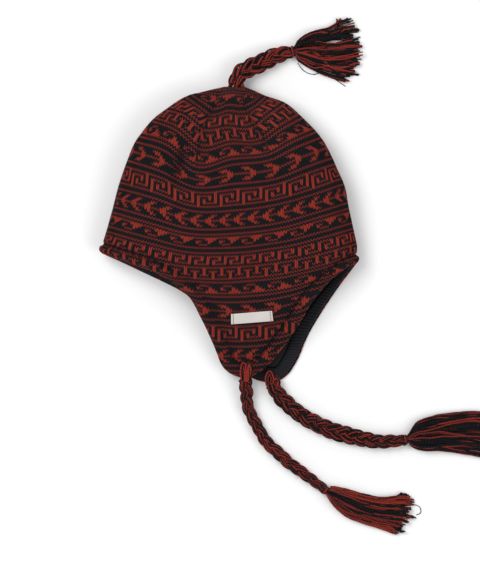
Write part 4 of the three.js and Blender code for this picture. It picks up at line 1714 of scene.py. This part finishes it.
@dataclass
class Plait:
    """Three-strand plait of red and black yarns along a path."""

    name: str
    path: tuple
    material: bpy.types.Material
    swing: float
    cross: float
    strand_radius: float
    pitch: float
    taper: tuple
    seed: int
    ring_colours: str = "RBBRBRBBRBBRBRBBRBBB"
    yarn_radius: float = 0.62
    core_share: float = 2.2
    overrun: float = 2.2
    taper_at: tuple = (0.0, 0.15, 0.8, 1.0)
    step: float = 1.4
    twist: float = 0.05
    slack: float = 0.4
    ring_reach: tuple = (0.92, 0.2)
    wobble: float = 0.25
    wobble_rate: float = 0.35
    squash: tuple = (1.12, 0.82)
    shade_spread: float = 0.2
    floor_gap: float = 0.1

    def build(self) -> bpy.types.Object:
        """Builds the plait.

        Returns:
            The piece.
        """
        random = np.random.default_rng(self.seed)
        line = even_line(self.path, self.step)
        onward = unit_rows((line[-1] - line[-2])[None, :])[0]
        line = np.concatenate([line, line[-1] + np.outer([0.5, 1.0], onward) * self.overrun])
        tangent = unit_rows(np.gradient(line, axis=0))
        across = unit_rows(np.cross(tangent, UP))
        over = np.cross(across, tangent)
        length = lengths_along(line)
        narrow = spline(np.array(self.taper_at), np.array(self.taper), length / length[-1])
        lines, radii, reds = [], [], []
        for strand in range(3):
            phase = 2 * math.pi * length / self.pitch + 2 * math.pi * strand / 3
            middle = (
                line
                + across * (self.swing * narrow * np.sin(phase))[:, None]
                + over * (self.cross * narrow * np.sin(2 * phase))[:, None]
            )
            way = unit_rows(np.gradient(middle, axis=0))
            side = unit_rows(np.cross(way, over))
            top = np.cross(side, way)
            count = len(self.ring_colours)
            first = random.integers(count)
            for yarn in range(count + 1):
                ring = yarn > 0
                angle = 2 * math.pi * yarn / count + length * self.twist + random.random() * self.slack
                reach = self.ring_reach[0] + self.ring_reach[1] * random.random()
                reach = (self.strand_radius - self.yarn_radius) * ring * reach
                wobble = self.wobble * np.sin(length * self.wobble_rate + random.random() * 6)
                offset_a = (reach + wobble) * np.cos(angle) * self.squash[0]
                offset_b = (reach + wobble) * np.sin(angle) * self.squash[1]
                if not ring:
                    offset_a, offset_b = wobble, wobble
                yarn_line = middle + side * (offset_a * narrow)[:, None] + top * (offset_b * narrow)[:, None]
                lines.append(yarn_line)
                thick = self.yarn_radius * (1.0 if ring else self.core_share)
                radii.append(thick * np.minimum(1, narrow + 0.15))
                colour = self.ring_colours[(yarn + first) % count]
                reds.append((1 - self.shade_spread * random.random()) * (ring and colour == "R"))
        for yarn_line, radius in zip(lines, radii):
            low = yarn_line[:, 2] - radius
            yarn_line[:, 2] += np.maximum(0, self.floor_gap - low)
        return YarnBundle(self.name, self.material).build(lines, radii, reds)


@dataclass
class Tassel:
    """Cut yarns that swell out from a bound neck, between two edges, and lie on the floor."""

    name: str
    stem: tuple
    neck: tuple
    upper: tuple
    lower: tuple
    material: bpy.types.Material
    strays: tuple
    bow: float
    neck_radius: float
    seed: int
    locks: int = 62
    yarns_in_lock: int = 4
    red_share: float = 0.3
    same_in_lock: float = 0.74
    filler_layer: float = -0.55
    yarn_radius: float = 0.62
    stray_radius: float = 0.38
    thickness: tuple = (12.0, 12.5, 9.0, 6.5)
    raggedness: float = 3.4
    yarn_raggedness: float = 1.7
    setback: float = 2.0
    lock_sway: float = 0.05
    yarn_sway: float = 0.012
    share_spread: float = 0.022
    layer_spread: float = 0.3
    neck_share: float = 0.92
    inside_stem: float = 0.8
    step: float = 3.6
    stray_step: float = 1.5
    crimp: float = 0.22
    crimp_rate: float = 1.15
    floor_gap: float = 0.15
    knot_gap: float = 0.2
    yarn_thickness: tuple = (0.9, 0.25)
    cut_end: float = 1.2
    shade_spread: float = 0.4

    def build(self) -> bpy.types.Object:
        """Builds the tassel.

        Returns:
            The piece.
        """
        random = np.random.default_rng(self.seed)
        stem, neck = np.array(self.stem), np.array(self.neck)
        axis = unit_rows((neck - stem)[None, :])[0]
        side = unit_rows(np.cross(axis, UP)[None, :])[0]
        over = np.cross(side, axis)
        edges = [np.array(edge, float) for edge in (self.upper, self.lower)]
        if np.dot(edges[0][0] - edges[1][0], side[:2]) < 0:
            side = -side
        count = len(edges[0])
        onward = unit_rows(sum(edge[-1] - neck[:2] for edge in edges)[None, :])[0]
        depths = np.interp(np.linspace(0, 3, count), np.arange(4), self.thickness)
        lines, radii, reds = [], [], []
        for lock in range(self.locks):
            lock_share = (lock + random.random()) / self.locks
            lock_layer = random.uniform(-1, 1)
            lock_red = int(random.random() < self.red_share and lock_layer > self.filler_layer)
            sway = random.normal(0, self.lock_sway, 3)
            ragged = random.normal(0, self.raggedness)
            for _ in range(self.yarns_in_lock):
                share = np.clip(lock_share + random.normal(0, self.share_spread), 0, 1)
                layer = np.clip(lock_layer + random.normal(0, self.layer_spread), -1, 1)
                room = math.sqrt(max(0.05, 1 - abs(2 * share - 1) ** 2.4))
                flat = (1 - 2 * share) * self.neck_share
                ring = side * flat + over * layer * math.sqrt(max(0.0, 1 - flat * flat))
                reach = self.neck_radius - self.yarn_radius
                knots = [stem + axis * self.inside_stem + ring * reach, neck + ring * reach]
                for k in range(count):
                    t = k / (count - 1)
                    drift = sway[0] * math.sin(3 * t) + sway[1] * math.sin(6 * t) + sway[2] * t * t
                    drift += random.normal(0, self.yarn_sway) * t
                    at = np.clip(share + drift * room, 0, 1)
                    width = np.linalg.norm(edges[0][k] - edges[1][k])
                    at = self.yarn_radius / width + at * (1 - 2 * self.yarn_radius / width)
                    place = edges[0][k] * (1 - at) + edges[1][k] * at
                    if k == count - 1:
                        bulge = self.bow * (1 - (2 * share - 1) ** 2) - self.setback
                        ends = bulge + ragged + random.normal(0, self.yarn_raggedness)
                        place = place + onward * ends
                    high = depths[k] * (0.5 + 0.5 * layer * room)
                    knots.append(np.array([*place, max(high, self.yarn_radius + self.knot_gap)]))
                line = even_line(knots, self.step)
                phase = np.arange(len(line)) * self.crimp_rate + random.random() * 6
                wave = self.crimp * np.sin(phase)
                line = line + np.outer(wave, (-onward[1], onward[0], 0.0))
                line[:, 2] = np.maximum(line[:, 2], self.yarn_radius + self.floor_gap)
                lines.append(line)
                thinnest, spread = self.yarn_thickness
                thick = np.full(len(line), self.yarn_radius * (thinnest + spread * random.random()))
                thick[-1] *= self.cut_end
                radii.append(thick)
                red = lock_red if random.random() < self.same_in_lock else 1 - lock_red
                reds.append(red * (1 - self.shade_spread * random.random()))
        for route in self.strays:
            line = even_line(route, self.stray_step)
            lines.append(line)
            radii.append(np.full(len(line), self.stray_radius))
            reds.append(0)
        return YarnBundle(self.name, self.material, sides=5).build(lines, radii, reds)


@dataclass
class RootLoops:
    """Loops of yarn where a plait is drawn through the cloth."""

    name: str
    arches: tuple
    material: bpy.types.Material
    colours: str = "RBRBR"
    yarn_radius: float = 0.8
    spread: float = 1.25
    flatness: float = 0.7
    step: float = 1.2

    def build(self) -> bpy.types.Object:
        """Builds the loops.

        Returns:
            The piece.
        """
        lines, radii, reds = [], [], []
        for number, arch in enumerate(self.arches):
            middle = even_line(arch, self.step)
            tangent = unit_rows(np.gradient(middle, axis=0))
            side = unit_rows(np.cross(tangent, UP))
            for k, colour in enumerate(self.colours):
                turn = 2 * math.pi * k / len(self.colours) + number
                line = middle + side * self.spread * math.cos(turn)
                line[:, 2] += self.spread * self.flatness * math.sin(turn)
                lines.append(line)
                radii.append(self.yarn_radius)
                reds.append(int(colour == "R"))
        return YarnBundle(self.name, self.material).build(lines, radii, reds)


@dataclass
class StemWrap:
    """Turns of yarn that bind the neck of a tassel."""

    name: str
    stem: tuple
    neck: tuple
    material: bpy.types.Material
    radius: float
    yarn_radius: float = 0.62
    turns: float = 2.6
    turn_samples: int = 24
    margin: float = 0.8
    slope: float = 0.9
    floor_gap: float = 0.1
    colours: str = "RB"

    def build(self) -> bpy.types.Object:
        """Builds the binding.

        Returns:
            The piece.
        """
        stem, neck = np.array(self.stem), np.array(self.neck)
        axis = (neck - stem) / np.linalg.norm(neck - stem)
        side = np.cross(axis, UP)
        side = side / np.linalg.norm(side)
        top = np.cross(side, axis)
        t = np.linspace(0, 1, int(self.turns * self.turn_samples))
        reach = self.radius - self.yarn_radius
        room = np.linalg.norm(neck - stem) - 2 * self.margin - self.yarn_radius * 2
        angle = 2 * math.pi * self.turns * t
        count = len(self.colours)
        lines = []
        for k in range(count):
            first = self.margin + self.yarn_radius + k * room / self.turns / count
            along = first + t * room * self.slope
            line = (
                stem
                + axis * along[:, None]
                + side * (reach * np.cos(angle))[:, None]
                + top * (reach * np.sin(angle))[:, None]
            )
            line[:, 2] = np.maximum(line[:, 2], self.yarn_radius + self.floor_gap)
            lines.append(line)
        reds = [int(colour == "R") for colour in self.colours]
        return YarnBundle(self.name, self.material).build(lines, [self.yarn_radius] * count, reds)


@dataclass
class Studio:
    """Pale floor, soft light and the camera over the hat."""

    camera_height: float = 4.6
    sharp_height: float = 0.02
    sensor_width: float = 36.0
    far_clip: float = 20.0
    sky_strength: float = 0.55
    soft_boxes: tuple = (
        ("key", (-0.8, 0.5, 1.5), 1.0, 20.0),
        ("fill", (1.1, -0.5, 1.3), 1.2, 11.0),
    )
    floor_size: float = 6.0
    floor_colour: tuple = (0.86, 0.86, 0.86, 1.0)
    floor_roughness: float = 0.9

    def camera(self) -> None:
        """Places the camera straight over the middle of the picture."""
        data = bpy.data.cameras.new("camera")
        data.sensor_fit = "AUTO"
        data.sensor_width = self.sensor_width
        picture_height = IMAGE_HEIGHT_PX * MM_PER_PX * MM
        data.lens = self.sensor_width * (self.camera_height - self.sharp_height) / picture_height
        data.clip_end = self.far_clip
        camera = add_object("camera", data)
        x = (IMAGE_WIDTH_PX / 2 - ORIGIN_PX[0]) * MM_PER_PX * MM
        y = (ORIGIN_PX[1] - IMAGE_HEIGHT_PX / 2) * MM_PER_PX * MM
        camera.location = (x, y, self.camera_height)
        bpy.context.scene.camera = camera

    def lights(self) -> None:
        """Adds the soft boxes and the sky light."""
        world = bpy.data.worlds.new("studio")
        bpy.context.scene.world = world
        world.use_nodes = True
        sky = world.node_tree.nodes["Background"].inputs
        sky["Color"].default_value = (1, 1, 1, 1)
        sky["Strength"].default_value = self.sky_strength
        bpy.context.scene.view_settings.view_transform = "Standard"
        for name, place, size, power in self.soft_boxes:
            data = bpy.data.lights.new(name, "AREA")
            data.size = size
            data.energy = power
            light = add_object(name, data)
            light.location = place
            light.rotation_euler = (-Vector(place)).to_track_quat("-Z", "Y").to_euler()

    def floor(self) -> None:
        """Adds the floor as a stage piece."""
        deselect_all()
        bpy.ops.mesh.primitive_plane_add(size=self.floor_size, location=(0, 0, 0))
        floor = bpy.context.active_object
        floor.name = "studio_floor"
        made = bpy.data.materials.new("studio_floor")
        made.use_nodes = True
        shader = made.node_tree.nodes["Principled BSDF"]
        shader.inputs["Base Color"].default_value = self.floor_colour
        shader.inputs["Roughness"].default_value = self.floor_roughness
        floor.data.materials.append(made)
        deselect_all()


@dataclass
class Ties:
    """Routes of the crown tail and the chin ties, repeated from the solids, in millimetres."""

    crown: tuple = (
        (7.3, 171.2, 16), (8.6, 179, 15.5), (16, 186, 13.5), (23.5, 189.4, 12), (32, 193.6, 10.5),
        (41.7, 198.6, 9.4), (48.6, 201.3, 8.6), (55.8, 203.4, 8), (60, 204.4, 7.8),
    )
    near: tuple = (
        (15.8, -123.3, 13.6), (17, -131, 12.4), (17.6, -137, 10.6), (17.8, -144, 8.4), (18.5, -150, 7.2),
        (21.2, -157, 6.8), (25.6, -166, 6.7), (31.6, -177, 6.7), (39, -188, 6.7), (49, -197, 6.7),
        (60, -207, 6.7), (72, -216, 6.7), (84, -225, 6.7), (95.3, -233.4, 6.7),
    )
    far: tuple = (
        (42.0, -127.6, 8.2), (46.5, -134, 7.6), (50.5, -140, 7.6), (57.5, -147.5, 7.6), (66.5, -155, 7.6),
        (80, -164, 7.6), (94.5, -171.5, 7.6), (109, -177, 7.6), (124, -181, 7.6), (138.5, -184, 7.6),
        (153, -186, 7.6), (162, -186, 7.6), (174.6, -184.5, 7.6),
    )
    near_roots: tuple = (
        ((13.2, -124, 16.5), (12.6, -114, 17.4), (14.6, -107.5, 15.6), (16.8, -114, 17.6),
         (16.2, -124, 17.5)),
        ((17.0, -125, 17.4), (18.0, -114, 17.6), (20.4, -107, 15.8), (22.4, -113, 17.2), (20.2, -125, 16.4)),
        ((16.2, -126, 18.6), (16.4, -116, 18.4), (17.6, -108, 15.6), (18.8, -116, 18.4), (18.4, -126, 18.6)),
    )
    far_roots: tuple = (
        ((38.4, -130, 9.5), (37.8, -121, 9.8), (40.6, -116.2, 8.6), (43.2, -121, 9.9), (42.8, -130, 10.5)),
        ((42.6, -131, 10.4), (44.6, -124, 10.0), (47.6, -121.6, 8.2), (49.8, -126, 9.8), (48.2, -133, 10.2)),
    )
    crown_roots: tuple = (
        ((-0.5, 166.0, 14.0), (1.4, 171, 17.5), (4.5, 177, 18.2), (8, 181, 18.0)),
        ((5.5, 166.0, 16.0), (6.8, 171, 20.0), (8.6, 177, 20.4), (11, 181, 19.0)),
        ((14.5, 166.0, 14.5), (13.4, 170, 17.5), (12.6, 175, 18.2), (13.5, 181, 17.5)),
    )


@dataclass(frozen=True)
class TasselShape:
    """Measured plan of one tassel, repeated from the solids and refined, in millimetres."""

    stem: tuple
    neck: tuple
    neck_radius: float
    wrap_radius: float
    upper: tuple
    lower: tuple
    bow: float
    strays: tuple = ()


TASSELS = {
    "crown": TasselShape(
        (62, 204.8, 7.7), (66, 205.7, 7.6), 4.9, 5.8,
        ((68.5, 216), (75.5, 221.8), (85, 226), (92, 228), (99.3, 229.7), (107.7, 234.3), (116, 239.3)),
        ((68.5, 196), (75.3, 191.3), (84.3, 186), (91, 182.8), (97.7, 180.2), (107.7, 176.3), (117.7, 173.8)),
        13.0,
        (
            ((69, 194, 4), (73, 188, 1.5), (78, 184.3, 0.6), (84.5, 182.5, 0.6), (91, 184, 1.2),
             (99, 189, 4)),
            ((101, 181, 3), (108, 176.4, 1.2), (117, 170.4, 0.6)),
        ),
    ),
    "near_tie": TasselShape(
        (95.8, -233.8, 6.7), (99.2, -236.5, 6.7), 3.5, 4.3,
        ((102, -230.8), (109, -231.2), (121.6, -234.2), (134.7, -238), (147.7, -240.7), (158.2, -241.4),
         (169, -239.8), (180, -238.5)),
        ((99.5, -243), (103.8, -249.5), (111.2, -257.2), (121.6, -263.8), (136, -269), (148, -272.8),
         (158, -276), (167, -279.5)),
        6.0,
        (((181, -248, 3), (186, -249.5, 0.8), (191.5, -252, 0.5), (192.3, -258, 0.5), (188, -260, 0.5)),),
    ),
    "far_tie": TasselShape(
        (175.2, -184.4, 7.4), (179.4, -183.5, 7.4), 4.1, 5.0,
        ((182, -175), (188.6, -165.8), (200, -161.3), (213, -158), (226, -156.7), (241.8, -155.5),
         (256, -155.8), (268, -157)),
        ((182, -190.5), (188, -194.3), (200, -196.3), (213, -195.9), (226, -197.7), (239, -199.6),
         (252, -202), (264, -204)),
        9.0,
    ),
}


def declare_cord(piece: bpy.types.Object, path: tuple) -> None:
    """Samples a chin tie's route at even steps and leaves the samples unused.

    Args:
        piece: the plait; not used.
        path: its route in millimetres.
    """
    line = even_line(path, CORD_STEP) * MM


def dress(piece: bpy.types.Object, node: str) -> None:
    """Puts a piece in place of a solid, on the one body.

    Args:
        piece: the finished piece.
        node: the solid it stands for.
    """
    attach(piece, "root")
    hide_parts(node)
    LOG.info("%s stands for %s", piece.name, node)


def main() -> None:
    """Builds the studio and the hat, in order."""
    logging.basicConfig(level=logging.INFO)
    studio = Studio()
    studio.camera()
    finishes = Finishes()
    ties = Ties()
    near_braid = Plait(
        "near_tie_braid_dressed", ties.near, finishes.yarn, swing=3.0, cross=2.4, strand_radius=3.4,
        pitch=34.0, taper=(1.12, 0.98, 0.88, 0.68), seed=11,
    ).build()
    far_braid = Plait(
        "far_tie_braid_dressed", ties.far, finishes.yarn, swing=3.6, cross=2.8, strand_radius=4.0,
        pitch=34.0, taper=(0.92, 1.0, 0.96, 0.7), seed=12,
    ).build()
    crown_braid = Plait(
        "crown_braid_dressed", ties.crown, finishes.yarn, swing=3.9, cross=2.8, strand_radius=4.3,
        pitch=36.0, taper=(0.86, 1.0, 0.95, 0.72), seed=13, ring_colours="RBBRRBRBBRRBBRBRRBBR",
    ).build()
    tassels = {}
    wraps = {}
    for number, (node, shape) in enumerate(TASSELS.items()):
        tassels[node] = Tassel(
            f"{node}_tassel_dressed", shape.stem, shape.neck, shape.upper, shape.lower, finishes.yarn,
            shape.strays, shape.bow, shape.neck_radius, FIRST_TASSEL_SEED + number,
        ).build()
        wraps[node] = StemWrap(
            f"{node}_wrap_dressed", shape.stem, shape.neck, finishes.yarn, shape.wrap_radius
        ).build()
        dress(tassels[node], f"{node}_tassel")
        dress(wraps[node], f"{node}_wrap")
    dress(crown_braid, "crown_braid")
    dress(near_braid, "near_tie_braid")
    dress(far_braid, "far_tie_braid")
    declare_cord(near_braid, ties.near)
    declare_cord(far_braid, ties.far)
    all_roots = {"near_tie": ties.near_roots, "far_tie": ties.far_roots, "crown": ties.crown_roots}
    for name, arches in all_roots.items():
        roots = RootLoops(f"{name}_root_loops", arches, finishes.yarn).build()
        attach(roots, "root")
    form = HatForm()
    dress(KnitShell(form, KnitChart(), finishes.knit).build(), "knit_shell")
    dress(Lining(form, finishes.fleece).build(), "fleece_lining")
    dress(Facing(form, finishes.rib).build(), "ribbed_facing")
    label, sewn = FlapLabel(form, finishes.label, finishes.thread).build()
    dress(label, "flap_label")
    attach(sewn, "root")
    studio.floor()
    studio.lights()


if __name__ == "__main__":
    main()
